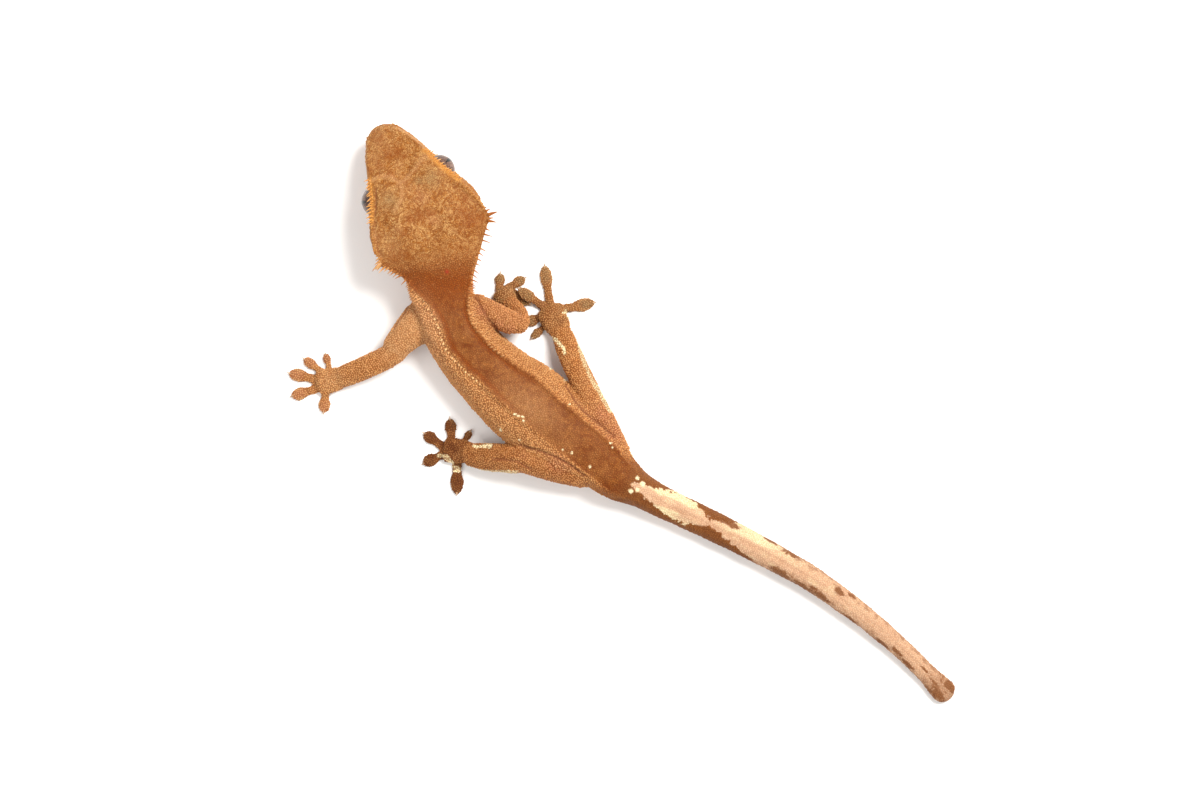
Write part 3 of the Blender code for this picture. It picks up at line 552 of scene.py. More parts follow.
def sampled_axes(part):
    """Points and directions every quarter of a millimetre along a part's middle line."""
    _, points, _, _ = PARTS[part]
    if part == 0:
        place, length = body_place, BODY_LENGTH
    else:
        place, length = smooth_path(points)
    distances = np.arange(0.0, length + PATH_STEP / 2, PATH_STEP)
    rows = []
    for distance in distances:
        if part == 0:
            _, forward, left = body_axes(distance)
            rows.append((*place(distance), *(-forward), *left, 0.0, 0.0, 1.0))
        else:
            ahead, across, upward = tube_axes(place, length, distance)
            rows.append((*place(distance), *ahead, *across, *upward))
    return distances, np.array(rows), length


AXES = [sampled_axes(part) for part in range(len(PARTS))]


def locate(part, points):
    """Distance along a part, way out to its left and height above its middle line."""
    distances, rows, length = AXES[part]
    seen = 2 if part == 0 else 3
    along = np.empty(len(points))
    across = np.empty(len(points))
    upward = np.empty(len(points))
    for start in range(0, len(points), 20000):
        batch = points[start:start + 20000]
        gaps = ((batch[:, None, :seen] - rows[None, :, :seen]) ** 2).sum(axis=2)
        nearest = rows[gaps.argmin(axis=1)]
        reach = batch - nearest[:, :3]
        here = slice(start, start + 20000)
        along[here] = distances[gaps.argmin(axis=1)] + (reach * nearest[:, 3:6]).sum(axis=1)
        across[here] = (reach * nearest[:, 6:9]).sum(axis=1)
        upward[here] = (reach * nearest[:, 9:12]).sum(axis=1)
    return np.clip(along, 0.0, length), across, upward


GRID = np.linspace(0.0, BODY_LENGTH, 800)


def profile(curve):
    values = [curve(distance) for distance in GRID]
    return lambda distance: np.interp(distance, GRID, values)


half_width_at = profile(half_width)
left_crest_at = profile(lambda distance: crest_reach(distance, LEFT))
right_crest_at = profile(lambda distance: crest_reach(distance, RIGHT))
fullness_at = profile(left_fullness)
middle_at = profile(widest_height)
crest_height_at = profile(lambda distance: mix(widest_height(distance), top_height(distance),
                                               crest_up(distance)))
mouth_at = profile(smooth_curve(MOUTH_HEIGHT))
pale_left_at = profile(smooth_curve(PALE_EDGE_LEFT))
pale_right_at = profile(smooth_curve(PALE_EDGE_RIGHT))


def wide_at(along, across):
    return half_width_at(along) * np.where(across > 0, fullness_at(along), 1.0)


def crest_at(along, across):
    return np.where(across > 0, left_crest_at(along), right_crest_at(along))


def line_gap(points, line):
    """Distance of each point from a line of points, seen in as many axes as the line has."""
    seen = len(line[0])
    best = np.full(len(points), 1e9)
    for start, end in zip(line, line[1:]):
        start, end = np.array(start), np.array(end)
        span = end - start
        reach = points[:, :seen] - start
        share = np.clip((reach @ span) / (span @ span), 0.0, 1.0)
        best = np.minimum(best, np.linalg.norm(reach - share[:, None] * span, axis=1))
    return best


def body_point(distance, side, out, height):
    return np.array(on_body(distance, side, out, height))


# Skin

def remeshed(surfaces):
    """One closed mesh of small even faces round all the surfaces, as points and quads."""
    points, faces = [], []
    for some_points, some_faces in surfaces:
        start = len(points)
        points += [tuple(point) for point in some_points]
        faces += [tuple(start + index for index in face) for face in some_faces]
    mesh = bpy.data.meshes.new("flesh")
    mesh.from_pydata(points, [], faces)
    thing = bpy.data.objects.new("flesh", mesh)
    bpy.context.scene.collection.objects.link(thing)
    modifier = thing.modifiers.new("remesh", "REMESH")
    modifier.mode = "VOXEL"
    modifier.voxel_size = VOXEL
    bpy.context.view_layer.update()
    result = bpy.data.meshes.new_from_object(thing.evaluated_get(bpy.context.evaluated_depsgraph_get()))
    skin = np.empty(len(result.vertices) * 3)
    result.vertices.foreach_get("co", skin)
    quads = np.empty(len(result.loops), dtype=np.int32)
    result.loops.foreach_get("vertex_index", quads)
    edges = np.empty(len(result.edges) * 2, dtype=np.int32)
    result.edges.foreach_get("vertices", edges)
    bpy.data.objects.remove(thing)
    bpy.data.meshes.remove(mesh)
    bpy.data.meshes.remove(result)
    return skin.reshape(-1, 3), quads.reshape(-1, 4), edges.reshape(-1, 2)


def part_of(points, surfaces):
    """Index of the part whose surface is nearest to each point."""
    all_points, all_faces, owner = [], [], []
    for part, (some_points, some_faces) in enumerate(surfaces):
        start = len(all_points)
        all_points += some_points
        all_faces += [tuple(start + index for index in face) for face in some_faces]
        owner += [part] * len(some_faces)
    tree = BVHTree.FromPolygons(all_points, all_faces)
    return np.array([owner[tree.find_nearest(Vector(point))[2]] for point in points])


def spread(values, edges, rounds, weight=0.5):
    """Average each value with its neighbours' a number of times."""
    flat = values.reshape(len(values), -1).astype(float)
    degree = np.bincount(edges.ravel(), minlength=len(flat))[:, None]
    weight = np.broadcast_to(np.asarray(weight, dtype=float).reshape(-1, 1), (len(flat), 1))
    for _ in range(rounds):
        total = np.empty_like(flat)
        for axis in range(flat.shape[1]):
            total[:, axis] = (np.bincount(edges[:, 0], flat[edges[:, 1], axis], len(flat))
                              + np.bincount(edges[:, 1], flat[edges[:, 0], axis], len(flat)))
        flat = flat + weight * (total / degree - flat)
    return flat.reshape(values.shape)


def normals_of(points, quads):
    first = points[quads[:, 2]] - points[quads[:, 0]]
    second = points[quads[:, 3]] - points[quads[:, 1]]
    facing = np.cross(first, second)
    total = np.zeros_like(points)
    for axis in range(3):
        for corner in range(4):
            total[:, axis] += np.bincount(quads[:, corner], facing[:, axis], len(points))
    return total / np.maximum(np.linalg.norm(total, axis=1, keepdims=True), 1e-9)


class Skin:
    """Points of the skin with the part, distance along, way out and height of each."""

    def __init__(self, points, quads, edges, parts):
        self.points = points
        self.quads = quads
        self.edges = edges
        self.parts = parts
        self.refresh()

    def refresh(self):
        self.normals = normals_of(self.points, self.quads)
        self.along = np.empty(len(self.points))
        self.across = np.empty(len(self.points))
        self.upward = np.empty(len(self.points))
        for part in range(len(PARTS)):
            chosen = np.flatnonzero(self.parts == part)
            if len(chosen):
                found = locate(part, self.points[chosen])
                self.along[chosen], self.across[chosen], self.upward[chosen] = found


def raised_by(skin):
    """How far each point of the skin stands out, for folds, lips, rims and soft forms."""
    points, along, across = skin.points, skin.along, skin.across
    height = points[:, 2]
    body = (skin.parts == 0).astype(float)
    head = body * ramp(along, 36, 31)
    above = ramp(skin.normals[:, 2], 0.1, 0.6)
    share = np.abs(across) / wide_at(along, across)
    rise = 0.10 * field(points, 3.4, 1) * body + 0.05 * field(points, 1.7, 2) + 0.03 * field(points, 0.8, 3)

    # Head: hollow between the eyes, swollen temples, rounded snout, brow ridges
    rise -= head * above * 0.55 * bump(across, 0.0, 2.6) * bump(along, 13.5, 6.0)
    rise += head * above * 0.45 * bump(np.abs(across), 5.4, 2.6) * bump(along, 24.5, 4.5)
    rise += head * above * 0.30 * bump(np.abs(across), 0.0, 2.4) * bump(along, 5.0, 3.0)
    rise -= head * above * 0.22 * bump(across, 0.0, 1.6) * bump(along, 27.0, 5.0)
    for line in HEAD_RIDGES:
        rise += head * above * 0.2 * bump(line_gap(points, line), 0.0, 0.7)
    crest_gap = np.abs(np.abs(across) - crest_at(along, across))
    crest_gap = crest_gap + np.abs(height - crest_height_at(along)) * 0.8 * ramp(along, 42, 38) + 3.0 * (1 - above)
    rise += body * 0.28 * bump(crest_gap, 0.0, 0.55) * ramp(along, 7, 11) * ramp(along, 99, 94)
    rise += body * 0.25 * bump(crest_gap, 0.0, 0.5) * ramp(along, 40, 45) * ramp(along, 84, 70)

    # Mouth line with a lip above and below it
    mouth_gap = height - mouth_at(along)
    lips = head * ramp(share, 0.55, 0.8) * ramp(along, MOUTH_END, MOUTH_END - 1.5)
    lips = np.maximum(lips, head * ramp(along, 3.0, 1.2))
    rise += lips * (0.12 * bump(np.abs(mouth_gap), 0.75, 0.4) - 0.42 * bump(mouth_gap, 0.0, 0.24))

    for side in (LEFT, RIGHT):
        eye = body_point(EYES_AT, side, EYE_OUT, EYE_HEIGHT)
        gap = np.linalg.norm(points - eye, axis=1) - EYE_RADIUS
        rise += head * 0.34 * bump(gap, 0.45, 0.34)
        nostril = body_point(NOSTRIL[0], side, NOSTRIL[1], NOSTRIL[2])
        gap = np.linalg.norm(points - nostril, axis=1)
        rise += 0.14 * bump(gap, NOSTRIL[3] + 0.35, 0.3) - 0.65 * bump(gap, 0.0, NOSTRIL[3])
        ear = np.stack([(along - EAR[0]) / EAR_RADII[1], (across * side - EAR[1]) / EAR_RADII[0],
                        (height - EAR[2]) / EAR_RADII[2]], axis=1)
        gap = np.linalg.norm(ear, axis=1)
        rise += head * (0.12 * bump(gap, 1.35, 0.3) - 0.75 * bump(gap, 0.0, 0.75))
        spur = body_point(SPUR[0], side, SPUR[1], SPUR[2])
        rise += body * 0.75 * bump(np.linalg.norm(points - spur, axis=1), 0.0, SPUR_RADIUS)

    for line, depth, width, _ in FOLDS:
        rise -= depth * above * bump(line_gap(points, line), 0.0, width)
    rise += head * above * 0.25 * bump(line_gap(points, ((8.7, 79.0), (8.2, 79.3))), 0.0, 0.9)

    # Throat and belly folds, and the furrow and faint rings of the tail
    rise -= body * 0.10 * ramp(-skin.normals[:, 2], -0.3, 0.4) * bump(np.sin(along * 1.9), 1.0, 0.25)
    tail = body * ramp(along, 103, 112)
    rise -= tail * above * 0.16 * bump(across, 0.0, 0.5)
    rise += tail * 0.035 * np.sin(along * 2 * math.pi / 1.25)
    return rise


def build_skin():
    surfaces = [body_surface()]
    surfaces += [tube_surface(points, sizes) for _, points, sizes, _ in PARTS[1:] if len(points) < 5]
    surfaces += [tube_surface(points, sizes, 20, 0.4) for _, points, sizes, _ in PARTS[1:] if len(points) > 4]
    points, quads, edges = remeshed(surfaces)
    if np.sum(np.cross(points[quads[:, 2]] - points[quads[:, 0]], points[quads[:, 3]] - points[quads[:, 1]])
              * points[quads[:, 0]]) < 0:
        quads = quads[:, ::-1]
    parts = part_of(points, surfaces)
    limb = np.array([0] + [1 + list(TUBES).index(owner) // 3 if owner else 0 for _, _, _, owner in PARTS[1:]])
    border = limb[parts[edges[:, 0]]] != limb[parts[edges[:, 1]]]
    near = np.zeros(len(points))
    near[edges[border].ravel()] = 1.0
    near = np.minimum(spread(near, edges, 14) * 9, 1.0)
    points = spread(points, edges, 4)
    points = spread(points, edges, 26, near * 0.5)
    skin = Skin(points, quads, edges, parts)
    rise = raised_by(skin)
    skin.points = skin.points + skin.normals * rise[:, None]
    skin.points = spread(skin.points, edges, 1, 0.35)
    skin.points[:, 2] = np.maximum(skin.points[:, 2], 0.03)
    skin.normals = normals_of(skin.points, quads)
    return skin


# Markings

# Kinds of marking, kept on the meshes as three colour sets of four
MARKS = ("dorsal", "cream", "brown", "pink", "head", "tail", "crease_shade", "golden", "rich", "light", "olive", "red")


def spot(points, x, y, radius):
    return bump(np.hypot(points[:, 0] - x, points[:, 1] - y), 0.0, radius)


def markings(points, normals, parts, along, across):
    """Strength from 0 to 1 of each kind of marking at each point."""
    body = parts == 0
    share = across / wide_at(along, across)
    reach = np.abs(share)
    ragged = field(points, 0.9, 5) * 0.5 + field(points, 0.45, 6) * 0.5
    above = ramp(normals[:, 2], -0.1, 0.4)
    height = points[:, 2]
    marks = {label: np.zeros(len(points)) for label in MARKS}

    def strengthen(label, strength):
        marks[label] = np.maximum(marks[label], strength)

    head = body * ramp(along, 41, 30)
    strengthen("head", head)
    crest = crest_at(along, across) / wide_at(along, across)
    inside = body * ramp(crest - reach + 0.05 * ragged, -0.04, 0.05) * above
    strengthen("dorsal", inside * ramp(along, 32, 38))
    strengthen("dorsal", body * 0.85 * ramp(along, 95, 101) * ramp(height, 1.0, 3.5))
    marks["dorsal"] = marks["dorsal"] * (0.84 + 0.16 * field(points, 2.5, 7))
    strengthen("rich", 0.9 * inside * bump(along, 39.2, 5.2))

    outside = body * ramp(reach - crest, 0.0, 0.1) * ramp(normals[:, 2], -0.3, 0.1)
    left_more = np.where(share > 0, 1.0, 0.2)
    strengthen("light", 0.75 * outside * left_more * bump(along, 47.0, 11.0))
    strengthen("light", 0.3 * outside * ramp(along, 40, 46) * ramp(along, 98, 88))
    strengthen("pink", 0.5 * outside * left_more * bump(along, 46.0, 6.0))
    # Dark orange line just inside each crest from the neck to mid-body: painted shade beside the raised crest ridge
    inner_gap = np.abs(across) - crest_at(along, across) + 0.85
    strengthen("rich", 0.9 * body * above * bump(inner_gap, 0.0, 0.45) * ramp(along, 40, 45) * ramp(along, 80, 66))

    # Head: rich, light and olive places, light ridges and lines, golden brow edges
    softer = above * (1 - 0.7 * head) * (1 - 0.8 * marks["dorsal"])
    for label, places, strength in (("rich", RICH_PLACES, 0.65 * above), ("light", LIGHT_PLACES, 0.8 * softer),
                                    ("olive", OLIVE_PLACES, 0.6 * above), ("pink", PINK_PLACES, 0.8 * softer)):
        for x, y, radius in places:
            strengthen(label, strength * spot(points, x, y, radius * (1 + 0.3 * ragged)))
    strengthen("light", 0.4 * inside * bump(along, 75.0, 9.0) * bump(reach, 0.0, 0.4))
    for line in HEAD_RIDGES:
        strengthen("light", 0.5 * head * above * bump(line_gap(points, line) + 0.3 * ragged, 0.0, 0.5))
    for line, width in LIGHT_LINES:
        strengthen("light", 0.7 * head * bump(line_gap(points, line), 0.0, width))
    brow_edge = bump(np.abs(across) - crest_at(along, across) + 0.15, 0.0, 0.5) * (height > 11)
    strengthen("golden", head * brow_edge * ramp(along, 9.5, 10.8) * ramp(along, 20.6, 19.4))
    strengthen("red", spot(points, *RED_SPOT) * above)

    # Tail: a pale saddle with ragged edges over brown, and blotches along both sides
    edge = np.where(share > 0, pale_left_at(along), pale_right_at(along))
    raggedness = mix(0.16, 0.34, bump(along, 126.0, 9.0))
    saddle = ramp(edge - reach + raggedness * ragged, -0.03, 0.03) * ramp(along, 103, 103.6) * body
    saddle = saddle * ramp(height, 0.2, 0.8)
    under = body * ramp(along, 106, 112) * ramp(normals[:, 2], 0.1, -0.4)
    tail = np.maximum(saddle, under * 0.7)
    strengthen("tail", tail)
    strengthen("brown", body * ramp(along, 100, 104) * (1 - tail) * 0.6)
    for place, out, long, wide in BLOTCHES:
        gap = ((along - place) / long) ** 2 + ((share - out) / wide) ** 2
        blotch = ramp(np.exp(-gap) + 0.5 * ragged, 0.3, 0.75)
        strengthen("brown", body * (gap < 6) * blotch * 0.9)
    lengthwise = field(np.stack([along * 0.3, across, np.zeros(len(points))], axis=1), 0.75, 9)
    specks = body * ramp(along, 122, 150) * ramp(field(points, 1.0, 8), 0.15, 0.5) * ramp(reach, 0.25, 0.8)
    strengthen("brown", specks * 0.5)
    side_line = ramp(reach + 0.12 * ragged, 0.82, 0.98) * ramp(along, 128, 140) * ramp(normals[:, 2], -0.3, 0.2)
    strengthen("brown", 0.65 * body * side_line)
    strengthen("brown", body * ramp(along, 183, 188) * (0.35 + 0.5 * ramp(ragged + 0.5 * lengthwise, 0.0, 0.5)))
    strengthen("brown", body * ramp(along, 118, 124) * ramp(edge - reach, 0.05, -0.15) * 0.8)
    streak = body * bump(share + 0.1 * lengthwise, 0.0, 0.2) * ramp(along, 108, 116)
    strengthen("pink", saddle * (0.8 * streak + 0.5 * ramp(lengthwise + 0.4 * ragged, 0.0, 0.5)))
    strengthen("pink", saddle * (0.7 + 0.3 * lengthwise) * ramp(along, 125, 175))
    cream = saddle * ramp(np.abs(share + 0.05) + 0.25 * lengthwise, 0.3, 0.55) * ramp(along, 126, 116)
    cream = np.maximum(cream, saddle * 0.8 * bump(along, 135, 9) * ramp(-share + 0.3 * lengthwise, 0.15, 0.45))
    cream = np.maximum(cream, saddle * 0.25 * ramp(lengthwise, -0.1, -0.6) * ramp(along, 170, 150))
    strengthen("cream", cream * (1 - ramp(marks["brown"], 0.2, 0.5)))

    for x, y, radius in PALE_SPOTS:
        gap = np.hypot(points[:, 0] - x, points[:, 1] - y) / radius
        strengthen("cream", ramp(gap + 0.25 * ragged, 0.9, 0.6) * ramp(height, 2.0, 3.0))
    for line, width in PALE_LINES:
        gap = line_gap(points, line) / width
        strengthen("cream", ramp(gap + 0.5 * ragged, 1.05, 0.75) * above)
    for line in FRINGES:
        strengthen("cream", 0.7 * ramp(line_gap(points, line[:9]) + 0.25 * ragged, 0.5, 0.3) * ~body)
    spur = [np.linalg.norm(points - body_point(SPUR[0], side, SPUR[1] + 0.5, SPUR[2]), axis=1)
            for side in (LEFT, RIGHT)]
    strengthen("cream", ramp(np.minimum(*spur), 1.3, 0.8) * 0.9)
    marks["pink"] = marks["pink"] * (1 - 0.7 * marks["dorsal"])
    strengthen("pink", body * ramp(normals[:, 2], 0.0, -0.6) * ramp(along, 112, 100) * 0.5)

    # Legs: each part has its own tones, and toe pads have light rims
    for part, (name, _, _, owner) in enumerate(PARTS[1:], start=1):
        chosen = np.flatnonzero(parts == part)
        if not len(chosen):
            continue
        patchy = 0.85 + 0.35 * field(points[chosen], 1.3, 11)
        tones = dict(zip(("brown", "pink", "light", "olive"), LIMB_TONES[owner]))
        kind, side = owner.rsplit("_", 1)
        before = owner if name == "toe" or kind not in JOINED_TO else f"{JOINED_TO[kind]}_{side}"
        share_in = ramp(along[chosen] / AXES[part][2], 0.0, 0.5)
        for (label, strength), first in zip(tones.items(), LIMB_TONES[before]):
            marks[label][chosen] = np.maximum(marks[label][chosen], mix(first, strength, share_in) * patchy)
        if name == "toe":
            pad = ramp(along[chosen] / AXES[part][2], 0.5, 0.7)
            rim = pad * ramp(np.abs(across[chosen]), 0.75, 1.25) * (1 - 0.6 * tones["brown"])
            middle = "pink" if owner == "hand_left" else "olive"
            marks["light"][chosen] = np.maximum(marks["light"][chosen], rim * 0.6 + pad * 0.45 * (owner != "foot_left"))
            marks["brown"][chosen] *= 1 - 0.6 * pad * (tones["brown"] < 0.5)
            marks[middle][chosen] = np.maximum(marks[middle][chosen], pad * (1 - rim) * 0.85)

    # Painted shade in the mouth line, nostrils, ear openings and folds; a golden rim round each eye
    crease_shade = head * bump(height - mouth_at(along), 0.0, 0.22) * ramp(along, MOUTH_END, MOUTH_END - 1.0)
    strengthen("crease_shade", crease_shade * np.maximum(ramp(reach, 0.55, 0.8), ramp(along, 3.0, 1.2)))
    for side in (LEFT, RIGHT):
        nostril = body_point(NOSTRIL[0], side, NOSTRIL[1], NOSTRIL[2])
        strengthen("crease_shade", bump(np.linalg.norm(points - nostril, axis=1), 0.0, NOSTRIL[3] * 0.9))
        ear = np.stack([(along - EAR[0]) / EAR_RADII[1], (across * side - EAR[1]) / EAR_RADII[0],
                        (height - EAR[2]) / EAR_RADII[2]], axis=1)
        strengthen("crease_shade", head * 0.9 * bump(np.linalg.norm(ear, axis=1), 0.0, 0.85))
        eye = body_point(EYES_AT, side, EYE_OUT, EYE_HEIGHT)
        gap = np.linalg.norm(points - eye, axis=1) - EYE_RADIUS
        strengthen("golden", head * bump(gap, 0.5, 0.45) * 0.8)
    for line, _, width, fold_shade in FOLDS:
        strengthen("crease_shade", fold_shade * above * bump(line_gap(points, line), 0.0, width * 0.7))
    return np.clip(np.stack([marks[label] for label in MARKS], axis=1), 0.0, 1.0)


# Unwrap of the skin: one strip for the body, columns for leg lengths and for toes

def unwrap(part, along, across, upward):
    turn = np.arctan2(upward, across) / (2 * math.pi) + 0.5
    share = along / AXES[part][2]
    return strip(part, share, turn)


def strip(part, share, turn):
    if part == 0:
        return np.stack([0.01 + 0.98 * share, 0.02 + 0.50 * turn], axis=-1)
    if part <= len(TUBES):
        column = part - 1
        return np.stack([0.01 + column * 0.082 + 0.074 * turn, 0.56 + 0.2 * share], axis=-1)
    column = part - 1 - len(TUBES)
    return np.stack([0.01 + column * 0.049 + 0.043 * turn, 0.80 + 0.18 * share], axis=-1)


def skin_map(skin):
    """Place on the unwrap of each corner of each face, seams kept between faces."""
    owner = skin.parts[skin.quads[:, 0]]
    places = np.zeros((len(skin.quads), 4, 2))
    for part in range(len(PARTS)):
        rows = np.flatnonzero(owner == part)
        if not len(rows):
            continue
        used, corner = np.unique(skin.quads[rows], return_inverse=True)
        along, across, upward = locate(part, skin.points[used])
        if part == 0:
            upward = upward - middle_at(along)
        turn = (np.arctan2(upward, across) / (2 * math.pi) + 0.5)[corner].reshape(-1, 4)
        share = (along / AXES[part][2])[corner].reshape(-1, 4)
        turn = turn - np.round(turn - turn[:, :1])
        places[rows] = strip(part, share, turn)
    return places.reshape(-1, 2)


# Mesh objects

SHIFT = None


def find_shift():
    """Offset of the row's frame from the frame the sizes are in, read from a solid."""
    low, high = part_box("eye_left")
    drawn = on_body(EYES_AT, LEFT, EYE_OUT, EYE_HEIGHT)
    return np.array(drawn - (low + high) / 2 / MM)


def mesh_piece(name, points, faces, material, masks, tones, places):
    """Mesh object from arrays: faces is a list of index arrays, one for each face size."""
    mesh = bpy.data.meshes.new(name)
    mesh.vertices.add(len(points))
    mesh.vertices.foreach_set("co", ((points - SHIFT) * MM).astype(np.float32).ravel())
    loops = np.concatenate([group.ravel() for group in faces]).astype(np.int32)
    sizes = np.concatenate([np.full(len(group), group.shape[1]) for group in faces])
    mesh.loops.add(len(loops))
    mesh.loops.foreach_set("vertex_index", loops)
    mesh.polygons.add(len(sizes))
    mesh.polygons.foreach_set("loop_start", (np.cumsum(sizes) - sizes).astype(np.int32))
    mesh.update(calc_edges=True)
    mesh.validate()
    for number, label in enumerate(("marks", "forms", "shades")):
        layer = mesh.attributes.new(label, "FLOAT_COLOR", "POINT")
        layer.data.foreach_set("color", masks[:, 4 * number:4 * number + 4].astype(np.float32).ravel())
    layer = mesh.attributes.new("tone", "FLOAT", "POINT")
    layer.data.foreach_set("value", tones.astype(np.float32))
    if places is not None:
        if len(places) == len(points):
            places = places[loops]
        layer = mesh.uv_layers.new(name="OFBake")
        layer.uv.foreach_set("vector", places.astype(np.float32).ravel())
    mesh.shade_smooth()
    mesh.materials.append(material)
    thing = bpy.data.objects.new(name, mesh)
    bpy.context.scene.collection.objects.link(thing)
    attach(thing, "root")
    return thing


# Scales

DOME_SIDES = 5
PATCH = 0.0015


def dome_shape(shoulder=0.74, shoulder_height=0.66):
    """Low closed dome: ring under the skin, shoulder ring and top."""
    turns = 2 * math.pi * np.arange(DOME_SIDES) / DOME_SIDES
    ring = np.stack([np.cos(turns), np.sin(turns)], axis=1)
    points = [(x, y, -0.45) for x, y in ring]
    points += [(x * shoulder, y * shoulder, shoulder_height) for x, y in ring]
    points.append((0.0, 0.0, 1.0))
    after = (np.arange(DOME_SIDES) + 1) % DOME_SIDES
    index = np.arange(DOME_SIDES)
    quads = np.stack([index, after, after + DOME_SIDES, index + DOME_SIDES], axis=1)
    tops = np.stack([index + DOME_SIDES, after + DOME_SIDES, np.full(DOME_SIDES, 2 * DOME_SIDES)], axis=1)
    return np.array(points), quads, tops, index[::-1][None, :]


def tangents_of(normals):
    """Two directions across each normal, the first lying backwards along the body."""
    back = np.array((0.12, -0.99, 0.0))
    first = back - normals * (normals @ back)[:, None]
    weak = np.linalg.norm(first, axis=1) < 0.15
    first[weak] = np.cross(normals[weak], (1.0, 0.0, 0.0))
    first /= np.linalg.norm(first, axis=1, keepdims=True)
    return first, np.cross(normals, first)


def scatter(skin, spacing_at, count, dice):
    """Random roots on the skin, each at least its own spacing from the others."""
    corners = skin.points[skin.quads]
    areas = np.linalg.norm(np.cross(corners[:, 2] - corners[:, 0], corners[:, 3] - corners[:, 1]), axis=1) / 2
    chosen = np.searchsorted(np.cumsum(areas), dice.random(count) * areas.sum())
    chosen = np.minimum(chosen, len(areas) - 1)
    u, v = dice.random((2, count))
    weights = np.stack([(1 - u) * (1 - v), u * (1 - v), u * v, (1 - u) * v], axis=1)
    quads = skin.quads[chosen]

    def blended(values):
        if values.ndim == 1:
            return (values[quads] * weights).sum(axis=1)
        return (values[quads] * weights[:, :, None]).sum(axis=1)

    roots = {"points": blended(skin.points), "normals": blended(skin.normals),
             "parts": skin.parts[quads[:, 0]], "along": blended(skin.along),
             "across": blended(skin.across), "upward": blended(skin.upward)}
    roots["normals"] /= np.linalg.norm(roots["normals"], axis=1, keepdims=True)
    roots["spacing"] = spacing_at(roots)
    keep = []
    cells = {}
    size = roots["spacing"].max()
    keys = np.floor(roots["points"] / size).astype(int).tolist()
    places = roots["points"].tolist()
    spacings = roots["spacing"].tolist()
    near = [(x, y, z) for x in (-1, 0, 1) for y in (-1, 0, 1) for z in (-1, 0, 1)]
    for index, (i, j, k) in enumerate(keys):
        spacing = spacings[index]
        if spacing <= 0:
            continue
        x, y, z = places[index]
        free = True
        for a, b, c in near:
            for px, py, pz in cells.get((i + a, j + b, k + c), ()):
                if (px - x) ** 2 + (py - y) ** 2 + (pz - z) ** 2 < spacing * spacing:
                    free = False
                    break
            if not free:
                break
        if free:
            cells.setdefault((i, j, k), []).append((x, y, z))
            keep.append(index)
    return {label: values[keep] for label, values in roots.items()}


def root_places(roots):
    places = np.zeros((len(roots["parts"]), 2))
    for part in range(len(PARTS)):
        rows = roots["parts"] == part
        upward = roots["upward"][rows]
        if part == 0:
            upward = upward - middle_at(roots["along"][rows])
        places[rows] = unwrap(part, roots["along"][rows], roots["across"][rows], upward)
    return places


def dome_pieces(label, roots, radii, heights, tones, lean, material, shape):
    """Joined meshes of scales at the roots, in pieces that are each small enough to bake."""
    points, quads, tops, base = shape
    size = len(points)
    first, second = tangents_of(roots["normals"])
    masks = markings(roots["points"], roots["normals"], roots["parts"], roots["along"], roots["across"])
    places = root_places(roots)
    triangles = 2 * len(quads) + len(tops) + DOME_SIDES - 2
    most = 190000 // triangles
    order = np.argsort(roots["along"] + 300 * (roots["parts"] > 0) + 20 * roots["parts"], kind="stable")
    pieces = []
    for number, start in enumerate(range(0, len(order), most)):
        rows = order[start:start + most]
        shift_back = points[:, 2].clip(0) * lean
        local_x = (points[None, :, 0] * radii[rows, None] + shift_back[None, :] * radii[rows, None])
        local_y = points[None, :, 1] * radii[rows, None]
        local_z = points[None, :, 2] * heights[rows, None]
        all_points = (roots["points"][rows, None, :] + first[rows, None, :] * local_x[:, :, None]
                      + second[rows, None, :] * local_y[:, :, None]
                      + roots["normals"][rows, None, :] * local_z[:, :, None]).reshape(-1, 3)
        offsets = (np.arange(len(rows)) * size)[:, None, None]
        faces = [(group[None] + offsets).reshape(-1, group.shape[1]) for group in (quads, tops, base)]
        spot = places[rows, None, :] + points[None, :, :2] * PATCH
        repeated = np.repeat(masks[rows], size, axis=0)
        # Tone rises from each scale's base to its top: painted shade low on the scale, full colour on top
        tone = (tones[rows, None] + 0.22 * points[None, :, 2] - 0.1).reshape(-1)
        pieces.append(mesh_piece(f"{label}_{number + 1}", all_points, faces, material, repeated, tone,
                                 spot.reshape(-1, 2)))
    return pieces


def granule_spacing(roots):
    """Distance between scales: finest on the feet and brow, coarser on the flanks and tail."""
    along, parts = roots["along"], roots["parts"]
    body = parts == 0
    spacing = np.where(body, 0.40, 0.38)
    spacing = np.where(body & (along < 34), 0.36, spacing)
    spacing = np.where(body & (along > 104), 0.38, spacing)
    spacing = np.where(roots["normals"][:, 2] < -0.1, 0.56, spacing)
    buried = (roots["points"][:, 2] < 0.35) & (roots["normals"][:, 2] < -0.2)
    inside = np.zeros(len(along), dtype=bool)
    for side in (LEFT, RIGHT):
        eye = body_point(EYES_AT, side, EYE_OUT, EYE_HEIGHT)
        inside |= np.linalg.norm(roots["points"] - eye, axis=1) < EYE_RADIUS + 0.1
    return np.where(buried | inside, 0.0, spacing)


